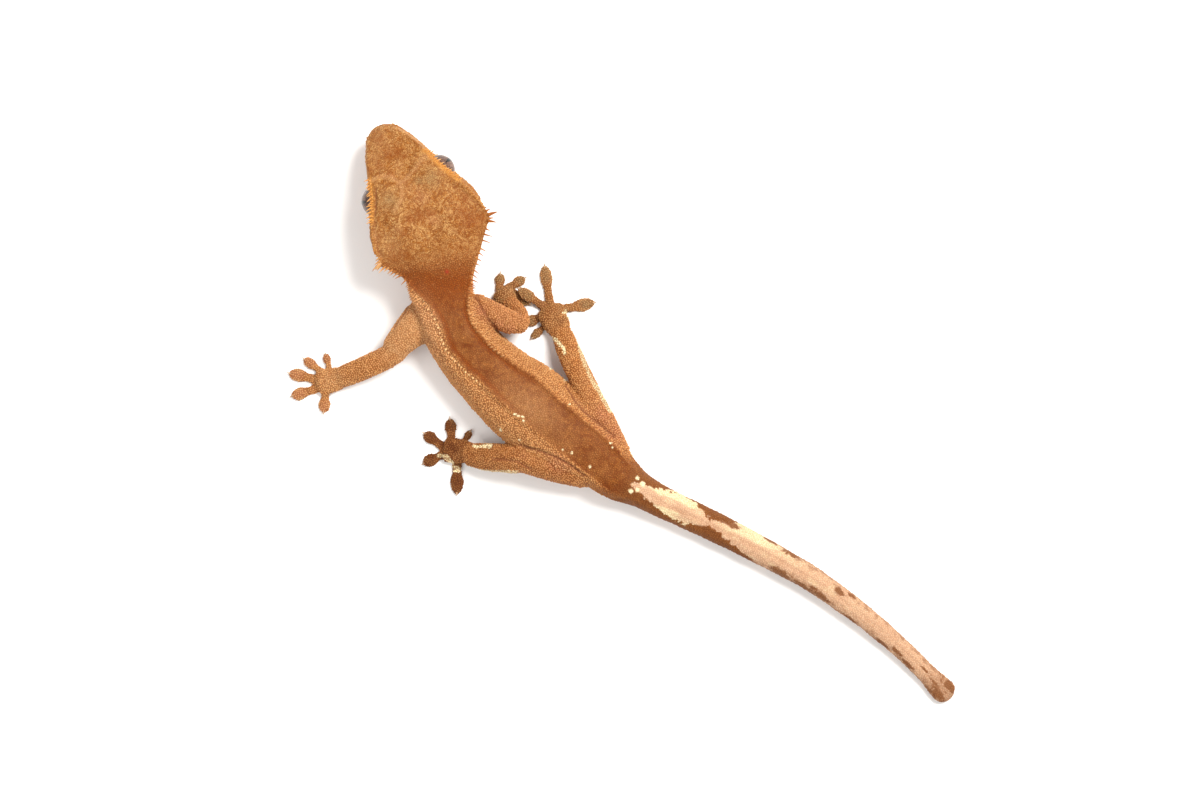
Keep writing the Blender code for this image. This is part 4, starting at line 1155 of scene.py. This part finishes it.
def granules(skin, material, dice):
    """Fine round scales over the whole animal, and larger ones scattered on flanks and legs."""
    roots = scatter(skin, granule_spacing, 420000, dice)
    count = len(roots["parts"])
    along, parts = roots["along"], roots["parts"]
    body = parts == 0
    radii = roots["spacing"] * dice.uniform(0.5, 0.6, count)
    heights = roots["spacing"] * dice.uniform(0.26, 0.34, count)
    heights = heights * np.where(body, mix(0.6, 1.1, ramp(along, 30, 42)), 1.0)
    heights = heights * np.where(body & (along > 104), 0.5, 1.0)
    flank = body & (along > 38) & (along < 101) & (np.abs(roots["across"]) > crest_at(along, roots["across"]) - 0.3)
    large = (flank | ~body) & (dice.random(count) < 0.18) & (roots["normals"][:, 2] > -0.3)
    large &= ~((~body) & (roots["points"][:, 2] < 1.3))
    radii[large] *= 1.25
    heights[large] *= 1.6
    tones = 0.58 + dice.normal(0.0, 0.035, count)
    tones[large] += 0.2
    return dome_pieces("scales", roots, radii, heights, tones, 0.25, material, dome_shape())


# Spines

SPINE_SIDES = 6
SPINE_RINGS = 5


def spine_mesh(root, direction, bend, length, radius, flat=1.0):
    """Points of one tapered, slightly bent spine, from below the skin to its tip."""
    direction = direction / np.linalg.norm(direction)
    across = np.cross(direction, (0.31, 0.17, 0.93))
    across /= np.linalg.norm(across)
    upward = np.cross(across, direction)
    points = []
    for ring in range(SPINE_RINGS):
        share = ring / SPINE_RINGS
        middle = root + direction * (length * share - 0.25 * (ring == 0)) + bend * length * share ** 2
        size = radius * (1 - share) ** 0.8
        for index in range(SPINE_SIDES):
            angle = 2 * math.pi * index / SPINE_SIDES
            points.append(middle + (across * math.cos(angle) + upward * math.sin(angle) * flat) * size)
    points.append(root + direction * length + bend * length)
    return points


def spine_faces():
    index = np.arange(SPINE_SIDES)
    after = (index + 1) % SPINE_SIDES
    quads = np.concatenate([np.stack([index, after, after + SPINE_SIDES, index + SPINE_SIDES], axis=1)
                            + ring * SPINE_SIDES for ring in range(SPINE_RINGS - 1)])
    last = (SPINE_RINGS - 1) * SPINE_SIDES
    tops = np.stack([index + last, after + last, np.full(SPINE_SIDES, SPINE_RINGS * SPINE_SIDES)], axis=1)
    return quads, tops, index[::-1][None, :]


class Spines:
    """Collects spines with their colours, then makes one mesh of them."""

    def __init__(self, tree, skin):
        self.tree = tree
        self.skin = skin
        self.points, self.roots, self.tones, self.paints = [], [], [], []

    def add(self, place, direction, length, radius, bend=(0, 0, 0), tone=0.6, lift=0.0, flat=1.0, **paint):
        """One spine whose root is the skin's point nearest to a place."""
        root, _, face, _ = self.tree.find_nearest(Vector(place))
        root = np.array(root)
        quad = self.skin.quads[face]
        normal = self.skin.normals[quad].mean(axis=0)
        direction = np.array(direction, dtype=float) + normal * lift
        self.points += spine_mesh(root - normal * 0.1, direction, np.array(bend, dtype=float), length, radius, flat)
        spot_on_skin = [values[quad].mean() for values in (self.skin.along, self.skin.across, self.skin.upward)]
        self.roots.append((*root, *normal, self.skin.parts[quad[0]], *spot_on_skin))
        self.tones.append(tone)
        self.paints.append(paint)

    def finish(self, name, material):
        quads, tops, base = spine_faces()
        size = SPINE_RINGS * SPINE_SIDES + 1
        count = len(self.roots)
        offsets = (np.arange(count) * size)[:, None, None]
        faces = [(group[None] + offsets).reshape(-1, group.shape[1]) for group in (quads, tops, base)]
        rows = np.array(self.roots)
        roots = {"parts": rows[:, 6].astype(int), "along": rows[:, 7], "across": rows[:, 8], "upward": rows[:, 9]}
        masks = markings(rows[:, :3], rows[:, 3:6], roots["parts"], roots["along"], roots["across"])
        masks[:, MARKS.index("crease_shade")] = 0.0
        for row, paint in enumerate(self.paints):
            for label, strength in paint.items():
                column = MARKS.index(label)
                masks[row, column] = max(masks[row, column], strength)
            masks[row, MARKS.index("brown")] *= 1 - paint.get("cream", 0.0)
        turns = np.linspace(0, 2 * math.pi * size / SPINE_SIDES, size)
        patch = PATCH * np.stack([np.cos(turns), np.sin(turns)], axis=1)
        places = root_places(roots)[:, None, :] + patch[None]
        # Tone rises from each spine's root to its tip: painted shade at the root, a pale tip where the tone is high
        tones = np.array(self.tones)[:, None] - 0.1 + 0.35 * np.arange(size)[None] / size
        return mesh_piece(name, np.array(self.points), faces, material, np.repeat(masks, size, axis=0),
                          tones.reshape(-1), places.reshape(-1, 2))


def crest_place(distance, side, inset=0.0):
    """Point on the crest's edge, and the directions out, forward and up from it."""
    crest = crest_reach(distance, side) - inset
    height = mix(widest_height(distance), top_height(distance), crest_up(distance))
    _, forward, left = body_axes(distance)
    return on_body(distance, side, crest, height), np.array(left * side), np.array(forward)


# Rows along the crests, on the sides given: start, end, spacing, inset from the crest's edge,
# length, root radius, upward lean, backward sweep, tone, and golden, rich and light shares
CREST_ROWS = (
    ((LEFT, RIGHT), 10.4, 19.8, 0.72, 0.00, 1.45, 0.25, 0.25, 0.0, 0.95, 0.9, 0.0, 0.0),
    ((LEFT, RIGHT), 10.9, 19.4, 0.80, 0.40, 0.60, 0.25, 0.90, 0.0, 0.85, 0.7, 0.0, 0.0),
    ((LEFT, RIGHT), 20.4, 27.2, 0.70, 0.05, 0.40, 0.24, 0.30, 0.3, 0.75, 0.3, 0.2, 0.2),
    # The right row behind the head has a lower tone, no light and more deep orange than the left: painted shade, as
    # these spines stand in shade
    ((RIGHT,), 31.2, 43.2, 0.85, 0.00, 1.95, 0.24, 0.05, 0.5, 0.78, 0.0, 0.5, 0.0),
    ((LEFT,), 30.4, 35.2, 0.70, 0.00, 1.75, 0.27, 0.05, 0.8, 1.00, 0.2, 0.0, 0.45),
    ((LEFT,), 35.9, 43.2, 0.85, 0.00, 1.60, 0.24, 0.10, 0.7, 0.85, 0.1, 0.3, 0.2),
    ((LEFT, RIGHT), 35.5, 43.2, 1.05, 0.80, 0.50, 0.20, 0.70, 0.7, 0.72, 0.0, 0.4, 0.1),
    ((LEFT,), 44.2, 55.8, 1.05, -0.55, 0.70, 0.36, 1.20, 0.2, 1.15, 0.0, 0.0, 0.90),
    ((LEFT,), 56.8, 63.0, 1.05, -0.10, 0.65, 0.36, 1.20, 0.2, 1.15, 0.0, 0.0, 0.90),
    ((RIGHT,), 43.8, 62.0, 1.05, 0.00, 0.65, 0.31, 0.90, 0.4, 0.95, 0.1, 0.1, 0.45),
    ((LEFT, RIGHT), 63.0, 97.0, 1.20, 0.00, 0.38, 0.28, 0.90, 0.5, 0.70, 0.1, 0.1, 0.15),
)
# Single spines at the rear corners of the head: side, distance, length, root radius, upward
# lean, backward sweep, and rich and light shares
CORNER_SPINES = (
    (RIGHT, 27.6, 0.7, 0.26, 0.3, 0.0, 0.5, 0.0), (RIGHT, 28.3, 1.1, 0.32, 0.2, -0.1, 0.5, 0.0),
    (RIGHT, 29.1, 2.3, 0.48, 0.1, 0.0, 0.6, 0.0), (RIGHT, 29.6, 1.2, 0.3, 0.4, 0.2, 0.5, 0.0),
    (RIGHT, 30.0, 1.9, 0.40, 0.1, 0.5, 0.6, 0.0), (RIGHT, 30.7, 1.1, 0.26, 0.2, 0.8, 0.5, 0.0),
    (LEFT, 28.0, 1.0, 0.26, 0.3, 0.1, 0.1, 0.2), (LEFT, 28.7, 1.5, 0.30, 0.2, 0.2, 0.1, 0.3),
    (LEFT, 29.4, 2.6, 0.38, 0.1, 0.3, 0.0, 0.7),
)


def crest_spines(spines, dice):
    up = np.array((0.0, 0.0, 1.0))
    for sides, start, end, spacing, inset, length, radius, lean, sweep, tone, golden, rich, light in CREST_ROWS:
        count = round((end - start) / spacing)
        for side in sides:
            for index in range(count + 1):
                distance = mix(start, end, index / count) + dice.uniform(-0.22, 0.22) * spacing
                place, outward, forward = crest_place(distance, side, inset)
                back = forward * (dice.uniform(-0.25, 0.25) - sweep * dice.uniform(0.6, 1.3))
                direction = outward + back + up * lean * dice.uniform(0.6, 1.4)
                spines.add(place, direction, length * dice.uniform(0.7, 1.2), radius * dice.uniform(0.85, 1.15),
                           -forward * 0.1 + up * dice.uniform(-0.1, 0.12), tone + dice.uniform(-0.06, 0.06),
                           golden=golden, rich=rich, light=light * dice.uniform(0.5, 1.2))
    for side, distance, length, radius, lean, sweep, rich, light in CORNER_SPINES:
        place, outward, forward = crest_place(distance, side)
        spines.add(place, outward - forward * sweep + up * lean, length, radius, -forward * 0.1, 0.75,
                   rich=rich, light=light)


def small_spine_spacing(roots):
    """Distance between small spines: dense beside the neck and shoulders, sparse on the back."""
    along, across = roots["along"], np.abs(roots["across"])
    outside = across - crest_at(along, roots["across"])
    spacing = np.where(outside > -0.2, 1.3, 2.2)
    spacing = np.where((outside > 0.1) & (along < 66), 1.05, spacing)
    comb = (outside > 0.3) & (outside < 2.2) & (along > 36) & (along < 60)
    spacing = np.where(comb, 0.75, spacing)
    wanted = (roots["parts"] == 0) & (roots["normals"][:, 2] > 0.0) & (along > 34) & (along < 101)
    return np.where(wanted, spacing, 0.0)


def scattered_spines(spines, skin, dice):
    """Small pointed tubercles on the neck's sides, shoulders, flanks and back."""
    roots = scatter(skin, small_spine_spacing, 60000, dice)
    for point, normal, along, across, spacing in zip(roots["points"], roots["normals"], roots["along"],
                                                     roots["across"], roots["spacing"]):
        _, forward, left = body_axes(along)
        comb = spacing < 0.9
        outward = np.array(left) * math.copysign(0.6, across) * comb
        length = (0.7 if comb else 0.4) * dice.uniform(0.75, 1.2)
        spines.add(point, normal + outward - np.array(forward) * 0.8, length, 0.2 if comb else 0.23,
                   tone=(0.86 if comb else 0.72) + dice.uniform(-0.1, 0.14),
                   light=(0.4 if comb else 0.2) * dice.uniform(0.3, 1.3))


def fringe_spines(spines, dice):
    """Fine pale fringe along the rear edge of each hind leg, fading on the thigh."""
    for line in FRINGES:
        place, length = smooth_path([(x, y, 0.0) for x, y in line])
        count = round(length / 0.55)
        for index in range(count + 1):
            share = index / count
            if dice.random() < (share - 0.45) * 0.9:
                continue
            distance = length * share
            at = place(distance)
            ahead = (place(min(distance + 0.3, length)) - place(max(distance - 0.3, 0))).normalized()
            outward = np.array((ahead.y, -ahead.x, 0.0))
            if line is FRINGES[1]:
                outward = -outward
            height = mix(1.6, 4.6, min(share * 1.4, 1.0))
            reach = mix(0.48, 0.32, share) * dice.uniform(0.8, 1.2)
            spines.add((at.x + outward[0] * 0.4, at.y + outward[1] * 0.4, height), outward, reach, 0.2,
                       tone=0.9, cream=mix(0.9, 0.4, share) * dice.uniform(0.6, 1.0), flat=0.6)


def pale_tubercles(spines, dice):
    for x, y, radius in PALE_SPOTS:
        for _ in range(2 if radius > 0.42 else 1):
            at = (x + dice.uniform(-0.15, 0.15), y + dice.uniform(-0.15, 0.15), 20.0)
            hit = spines.tree.ray_cast(Vector(at), Vector((0, 0, -1)))[0]
            if hit is not None:
                spines.add(hit, (0, 0, 1), 0.3, radius * 0.7, tone=0.9, cream=0.8)
    for line, width in PALE_LINES:
        place, length = smooth_path([(x, y, 0.0) for x, y in line])
        for _ in range(round(length * width * 9)):
            at = place(dice.uniform(0, length))
            around = Vector((dice.uniform(-width, width), dice.uniform(-width, width), 20.0))
            hit = spines.tree.ray_cast(Vector((at.x, at.y, 0)) + around, Vector((0, 0, -1)))[0]
            if hit is not None:
                spines.add(hit, (0, 0, 1), 0.24, 0.26, tone=0.95, cream=0.9, lift=0.6)


def lip_plates(spines, dice):
    """Rows of small plates above and below the mouth line."""
    for row, offset in ((1, 0.62), (-1, -0.66)):
        for side in (LEFT, RIGHT):
            for index in range(22):
                distance = 0.6 + index * 1.02
                height = float(mouth_at(distance)) + offset
                place = on_body(distance, side, half_width(distance) + 0.3, height)
                _, forward, left = body_axes(distance)
                spines.add(place, np.array(left * side), 0.2, 0.5 * dice.uniform(0.95, 1.05),
                           tone=0.62 + dice.uniform(-0.05, 0.05), golden=0.15, flat=0.9)


# Claws

def claws(tree):
    points, faces = [], []
    sides, rings = 8, 7
    for owner, toes in TOES.items():
        for base, tip, _, length, raise_by in toes:
            ahead = (Vector((*tip, 0.0)) - Vector((*base, 0.0))).normalized()
            across = Vector((-ahead.y, ahead.x, 0.0))
            root = Vector((*tip, 0.62 + raise_by)) - ahead * 0.55
            reach = length + 0.6
            start = len(points)
            for ring in range(rings):
                share = ring / rings
                middle = root + ahead * reach * share + Vector((0, 0, 0.34 * math.sin(share * 2.6) - 0.3 * share))
                size = 0.3 * (1 - share) ** 0.75
                for index in range(sides):
                    angle = 2 * math.pi * index / sides
                    points.append(middle + across * math.cos(angle) * size * 0.8
                                  + Vector((0, 0, math.sin(angle) * size)))
            points.append(root + ahead * reach + Vector((0, 0, 0.34 * math.sin(2.6) - 0.3)))
            for ring in range(rings - 1):
                for index in range(sides):
                    after = (index + 1) % sides
                    low = start + ring * sides
                    faces.append((low + index, low + sides + index, low + sides + after, low + after))
            last = start + (rings - 1) * sides
            for index in range(sides):
                faces.append((last + (index + 1) % sides, last + index, start + rings * sides))
            faces.append(tuple(start + index for index in range(sides)))
    mesh = bpy.data.meshes.new("claws")
    mesh.from_pydata([(point - Vector(SHIFT)) * MM for point in points], [], faces)
    mesh.validate()
    mesh.shade_smooth()
    return mesh


# Materials

class Shader:
    """Small helper that adds nodes to one material."""

    def __init__(self, name):
        self.material = bpy.data.materials.new(name)
        self.material.use_nodes = True
        self.tree = self.material.node_tree
        self.surface = self.tree.nodes["Principled BSDF"]

    def node(self, kind, **settings):
        made = self.tree.nodes.new(kind)
        for label, value in settings.items():
            setattr(made, label, value)
        return made

    def link(self, output, socket):
        self.tree.links.new(output, socket)

    def feed(self, socket, value):
        if isinstance(value, bpy.types.NodeSocket):
            self.link(value, socket)
        elif isinstance(value, tuple) and len(value) == 3 and socket.type == "RGBA":
            socket.default_value = (*value, 1.0)
        else:
            socket.default_value = value

    def blend(self, share, first, second, kind="MIX"):
        made = self.node("ShaderNodeMix", data_type="RGBA", blend_type=kind)
        self.feed(made.inputs["Factor"], share)
        self.feed(made.inputs[6], first)
        self.feed(made.inputs[7], second)
        return made.outputs[2]

    def math(self, kind, first, second=0.0, clamp=False):
        made = self.node("ShaderNodeMath", operation=kind, use_clamp=clamp)
        self.feed(made.inputs[0], first)
        self.feed(made.inputs[1], second)
        return made.outputs[0]

    def steps(self, value, low, high):
        made = self.node("ShaderNodeMapRange", interpolation_type="SMOOTHSTEP")
        self.feed(made.inputs["Value"], value)
        self.feed(made.inputs["From Min"], low)
        self.feed(made.inputs["From Max"], high)
        return made.outputs["Result"]

    def noise(self, coords, scale, detail=2.0, rough=0.5, warp=0.0):
        made = self.node("ShaderNodeTexNoise")
        self.feed(made.inputs["Vector"], coords)
        self.feed(made.inputs["Scale"], scale)
        self.feed(made.inputs["Detail"], detail)
        self.feed(made.inputs["Roughness"], rough)
        self.feed(made.inputs["Distortion"], warp)
        return made.outputs["Fac"]

    def cells(self, coords, scale, feature="F1", output="Distance"):
        made = self.node("ShaderNodeTexVoronoi", feature=feature)
        self.feed(made.inputs["Vector"], coords)
        self.feed(made.inputs["Scale"], scale)
        return made.outputs[output]

    def attribute(self, name):
        return self.node("ShaderNodeAttribute", attribute_name=name)

    def masks(self, name):
        made = self.attribute(name)
        split = self.node("ShaderNodeSeparateColor")
        self.link(made.outputs["Color"], split.inputs[0])
        return split.outputs[0], split.outputs[1], split.outputs[2], made.outputs["Alpha"]


def skin_material(name, bump_strength):
    """Living skin: marbled orange browns, the markings, and painted shade between the scales and low on each one."""
    shader = Shader(name)
    coords = shader.node("ShaderNodeTexCoord").outputs["Object"]
    dorsal, cream, brown, pink = shader.masks("marks")
    head, tail, crease_shade, golden = shader.masks("forms")
    rich, light, olive, red = shader.masks("shades")
    tone = shader.attribute("tone").outputs["Fac"]
    broad = shader.noise(coords, 210.0, 3.0, 0.55, 0.4)
    patch = shader.noise(coords, 520.0, 4.0, 0.6, 0.8)
    curls = shader.noise(coords, 400.0, 3.0, 0.55, 2.4)
    light_curls = shader.noise(coords, 310.0, 3.0, 0.55, 2.8)
    fine = shader.noise(coords, 1500.0, 3.0, 0.6)
    grain = shader.noise(coords, 4200.0, 2.0, 0.6)
    small_curls = shader.noise(coords, 1150.0, 2.0, 0.5, 1.6)
    threads, light_threads, small_threads = (
        shader.steps(shader.math("ABSOLUTE", shader.math("SUBTRACT", noise, 0.5)), wide, 0.02)
        for noise, wide in ((curls, 0.07), (light_curls, 0.08), (small_curls, 0.07)))

    flank = shader.blend(shader.steps(patch, 0.35, 0.68), FLANK_DARK, FLANK)
    back = shader.blend(shader.steps(patch, 0.36, 0.66), DORSUM, DORSUM_LIGHT)
    marble = shader.noise(coords, 330.0, 3.0, 0.5, 2.2)
    crown = shader.blend(shader.steps(marble, 0.40, 0.62), HEAD_MIDDLE, HEAD_LIGHT)
    crown = shader.blend(shader.math("MULTIPLY", shader.steps(broad, 0.54, 0.42), 0.6), crown, HEAD_MIDDLE)
    crown = shader.blend(shader.math("MULTIPLY", light_threads, 0.75), crown, HEAD_LIGHT)
    crown = shader.blend(shader.math("MULTIPLY", threads, 0.75), crown, HEAD_DARK)
    crown = shader.blend(shader.math("MULTIPLY", small_threads, 0.6), crown, HEAD_DARK)
    back = shader.blend(shader.math("MULTIPLY", small_threads, 0.6), back, DORSUM_DARK)
    colour = shader.blend(dorsal, flank, back)
    colour = shader.blend(head, colour, crown)
    for share, other in ((pink, PINK), (rich, RICH_AND_SHADE), (light, LIGHT), (olive, OLIVE)):
        marbled = shader.math("SUBTRACT", 1.0, shader.math("MULTIPLY", small_threads, 0.5))
        colour = shader.blend(shader.math("MULTIPLY", share, marbled), colour, other)
    colour = shader.blend(tail, colour, shader.blend(pink, PEACH, PEACH_PINK))
    for share, other in ((brown, BROWN), (cream, CREAM), (shader.math("MULTIPLY", golden, 0.85), GOLD)):
        colour = shader.blend(share, colour, other)
    speckle = shader.blend(shader.steps(fine, 0.30, 0.72), (0.70, 0.64, 0.58), (1.0, 1.0, 1.0))
    colour = shader.blend(0.5, colour, speckle, "MULTIPLY")
    # Painted shade: a low tone darkens the bare skin between scales and the lower part of each scale and spine, less on
    # the head, back, tail and light marks
    gaps = shader.blend(shader.steps(tone, 0.15, 0.68), (0.34, 0.235, 0.16), (1.0, 1.0, 1.0))
    smoother = shader.math("MAXIMUM", shader.math("MAXIMUM", head, dorsal), tail)
    depth = shader.math("SUBTRACT", 0.95, shader.math("MULTIPLY", smoother, 0.5))
    depth = shader.math("SUBTRACT", depth, shader.math("MULTIPLY", light, 0.2), clamp=True)
    colour = shader.blend(depth, colour, gaps, "MULTIPLY")
    colour = shader.blend(shader.math("MULTIPLY", shader.steps(tone, 0.95, 1.4), 0.7), colour, TIP)
    # Painted shade in folds, the mouth line, nostrils and ear openings
    colour = shader.blend(shader.math("MULTIPLY", crease_shade, 0.9), colour, CREASE_SHADE)
    colour = shader.blend(red, colour, RED)
    shader.link(colour, shader.surface.inputs["Base Color"])

    rough = shader.node("ShaderNodeMapRange")
    shader.link(fine, rough.inputs["Value"])
    rough.inputs["To Min"].default_value = 0.52
    rough.inputs["To Max"].default_value = 0.78
    shader.link(rough.outputs["Result"], shader.surface.inputs["Roughness"])
    relief = shader.node("ShaderNodeBump")
    relief.inputs["Strength"].default_value = bump_strength
    relief.inputs["Distance"].default_value = 0.0001
    shader.link(shader.math("ADD", grain, shader.math("MULTIPLY", fine, 0.8)), relief.inputs["Height"])
    shader.link(relief.outputs["Normal"], shader.surface.inputs["Normal"])
    shader.surface.inputs["Specular IOR Level"].default_value = 0.12
    shader.surface.inputs["Subsurface Weight"].default_value = 0.12
    shader.surface.inputs["Subsurface Scale"].default_value = 0.0008
    shader.surface.inputs["Subsurface Radius"].default_value = (1.0, 0.45, 0.25)
    return shader.material


def eye_material():
    """Glossy ball with a veined brown-violet iris and an upright slit pupil."""
    shader = Shader("eye")
    coords = shader.node("ShaderNodeTexCoord").outputs["Object"]
    gaze = shader.attribute("gaze")
    split = shader.node("ShaderNodeSeparateColor")
    shader.link(gaze.outputs["Color"], split.inputs[0])
    level, upright, depth = split.outputs
    veins = shader.noise(coords, 900.0, 5.0, 0.65, 2.0)
    spots = shader.cells(coords, 1500.0)
    iris = shader.blend(shader.steps(veins, 0.42, 0.62), (0.060, 0.030, 0.022), (0.190, 0.105, 0.072))
    iris = shader.blend(shader.math("MULTIPLY", shader.steps(spots, 0.38, 0.12), 0.5), iris, (0.07, 0.04, 0.045))
    squared = shader.math("POWER", shader.math("ABSOLUTE", upright), 2.0)
    width = shader.math("SUBTRACT", 0.15, shader.math("MULTIPLY", squared, 0.32))
    wobble = shader.math("MULTIPLY", shader.math("SUBTRACT", veins, 0.5), 0.10)
    inside = shader.math("SUBTRACT", shader.math("ADD", width, wobble), shader.math("ABSOLUTE", level))
    pupil = shader.math("MULTIPLY", shader.steps(inside, -0.012, 0.012), shader.steps(depth, 0.0, 0.2))
    colour = shader.blend(shader.steps(depth, 0.34, 0.12), iris, (0.035, 0.022, 0.022))
    colour = shader.blend(pupil, colour, (0.004, 0.003, 0.003))
    shader.link(colour, shader.surface.inputs["Base Color"])
    shader.surface.inputs["Roughness"].default_value = 0.22
    shader.surface.inputs["Specular IOR Level"].default_value = 0.2
    shader.surface.inputs["Coat Weight"].default_value = 0.28
    shader.surface.inputs["Coat Roughness"].default_value = 0.03
    return shader.material


def claw_material():
    shader = Shader("claw")
    coords = shader.node("ShaderNodeTexCoord").outputs["Object"]
    streak = shader.noise(coords, 2600.0, 3.0, 0.6)
    colour = shader.blend(shader.steps(streak, 0.35, 0.65), (0.20, 0.10, 0.045), (0.50, 0.33, 0.19))
    shader.link(colour, shader.surface.inputs["Base Color"])
    shader.surface.inputs["Roughness"].default_value = 0.35
    return shader.material


# Eyes

def eye_piece(side, name, node):
    """Ball with its own measure of how far each point is from the middle of the gaze."""
    centre, forward, left = body_axes(EYES_AT)
    centre = np.array(on_body(EYES_AT, side, EYE_OUT, EYE_HEIGHT))
    gaze = left * side + forward * 0.34 + Vector((0, 0, 0.16))
    gaze.normalize()
    level = gaze.cross(Vector((0, 0, 1))).normalized()
    upright = level.cross(gaze)
    rows, around = 48, 64
    points, faces = [], []
    for row in range(1, rows):
        tilt = math.pi * row / rows
        bulge = 1.0 + 0.035 * max(math.cos(tilt), 0.0) ** 4
        for index in range(around):
            angle = 2 * math.pi * index / around
            flat = level * math.cos(angle) + upright * math.sin(angle)
            points.append(np.array(gaze * math.cos(tilt) + flat * math.sin(tilt)) * EYE_RADIUS * bulge + centre)
    points.append(np.array(gaze) * EYE_RADIUS * 1.035 + centre)
    points.append(-np.array(gaze) * EYE_RADIUS + centre)
    for row in range(rows - 2):
        for index in range(around):
            after = (index + 1) % around
            low = row * around
            faces.append((low + index, low + around + index, low + around + after, low + after))
    last = (rows - 2) * around
    for index in range(around):
        after = (index + 1) % around
        faces.append((index, after, len(points) - 2))
        faces.append((last + after, last + index, len(points) - 1))
    points = np.array(points)
    mesh = bpy.data.meshes.new(name)
    mesh.from_pydata([tuple(point) for point in (points - SHIFT) * MM], [], faces)
    mesh.validate()
    reach = (points - centre) / EYE_RADIUS
    values = np.stack([reach @ np.array(level), reach @ np.array(upright), reach @ np.array(gaze),
                       np.ones(len(points))], axis=1)
    layer = mesh.attributes.new("gaze", "FLOAT_COLOR", "POINT")
    layer.data.foreach_set("color", values.astype(np.float32).ravel())
    mesh.shade_smooth()
    mesh.materials.append(EYE_SURFACE)
    thing = bpy.data.objects.new(name, mesh)
    bpy.context.scene.collection.objects.link(thing)
    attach(thing, "root")
    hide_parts(node)
    return thing


# Camera, floor and light

CAMERA_HEIGHT = 0.650
CAMERA_VIEW_WIDTH = 276.0
CAMERA_TURN = (0.716, -0.698)


def camera_and_light():
    scene = bpy.context.scene
    data = bpy.data.cameras.new("camera")
    data.sensor_width = 36.0
    data.lens = CAMERA_HEIGHT / MM * data.sensor_width / CAMERA_VIEW_WIDTH
    data.clip_start = 0.01
    camera = bpy.data.objects.new("camera", data)
    camera.location = (-SHIFT[0] * MM, -SHIFT[1] * MM, CAMERA_HEIGHT)
    camera.rotation_euler = (0.0, 0.0, math.atan2(CAMERA_TURN[1], CAMERA_TURN[0]))
    scene.collection.objects.link(camera)
    scene.camera = camera
    scene.view_settings.view_transform = "Standard"

    right = Vector((CAMERA_TURN[0], CAMERA_TURN[1], 0.0))
    upward = Vector((-CAMERA_TURN[1], CAMERA_TURN[0], 0.0))
    for label, across, rise, height, size, power in (("key", 0.32, 0.30, 0.62, 0.34, 8.5),
                                                     ("fill", -0.45, -0.2, 0.55, 0.6, 2.5)):
        lamp = bpy.data.lights.new(label, "AREA")
        lamp.shape = "DISK"
        lamp.size = size
        lamp.energy = power
        lamp.color = (1.0, 0.985, 0.96)
        light = bpy.data.objects.new(label, lamp)
        light.location = right * across + upward * rise + Vector((0, 0, height))
        light.rotation_euler = (-light.location).to_track_quat("-Z", "Y").to_euler()
        scene.collection.objects.link(light)
    world = bpy.data.worlds.new("studio")
    world.use_nodes = True
    background = world.node_tree.nodes["Background"]
    background.inputs["Color"].default_value = (1.0, 0.985, 0.975, 1.0)
    background.inputs["Strength"].default_value = 0.62
    scene.world = world


def floor():
    shader = Shader("floor")
    coords = shader.node("ShaderNodeTexCoord").outputs["Object"]
    cloud = shader.noise(coords, 6.0, 2.0)
    shader.link(shader.blend(cloud, (0.90, 0.89, 0.88), (0.93, 0.925, 0.915)),
                shader.surface.inputs["Base Color"])
    shader.surface.inputs["Roughness"].default_value = 0.85
    shader.surface.inputs["Specular IOR Level"].default_value = 0.2
    mesh = bpy.data.meshes.new("floor")
    reach = 3.0
    mesh.from_pydata([(-reach, -reach, 0), (reach, -reach, 0), (reach, reach, 0), (-reach, reach, 0)], [],
                     [(0, 1, 2, 3)])
    mesh.materials.append(shader.material)
    thing = bpy.data.objects.new("floor", mesh)
    bpy.context.scene.collection.objects.link(thing)


# Build

FLESH = ("head", "neck", "torso_front", "torso_rear", "tail_base", "tail_middle", "tail_tip") + tuple(TUBES)

SHIFT = find_shift()
camera_and_light()
floor()
SKIN_SURFACE = skin_material("skin", 0.35)
SCALE_SURFACE = skin_material("scales", 0.25)
EYE_SURFACE = eye_material()

skin = build_skin()
skin_masks = markings(skin.points, skin.normals, skin.parts, skin.along, skin.across)
# Low tone on the bare skin between the scales, for painted shade in the gaps
skin_tones = 0.26 + 0.05 * field(skin.points, 0.6, 21)
skin_piece = mesh_piece("skin", skin.points, [skin.quads], SKIN_SURFACE, skin_masks, skin_tones, skin_map(skin))
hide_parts(*FLESH)

number_dice = np.random.default_rng(SEED)
granules(skin, SCALE_SURFACE, number_dice)

skin_tree = BVHTree.FromPolygons([Vector(point) for point in skin.points], skin.quads.tolist())
dice = random.Random(SEED)
crest = Spines(skin_tree, skin)
crest_spines(crest, dice)
crest.finish("crest_spines", SCALE_SURFACE)
small = Spines(skin_tree, skin)
scattered_spines(small, skin, number_dice)
small.finish("body_tubercles", SCALE_SURFACE)
pale = Spines(skin_tree, skin)
fringe_spines(pale, dice)
pale_tubercles(pale, dice)
pale.finish("pale_fringes", SCALE_SURFACE)
lips = Spines(skin_tree, skin)
lip_plates(lips, dice)
lips.finish("lip_plates", SCALE_SURFACE)

eye_piece(LEFT, "eyeball_left", "eye_left")
eye_piece(RIGHT, "eyeball_right", "eye_right")

claw_mesh = claws(skin_tree)
claw_mesh.materials.append(claw_material())
claw_piece = bpy.data.objects.new("claws", claw_mesh)
bpy.context.scene.collection.objects.link(claw_piece)
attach(claw_piece, "root")
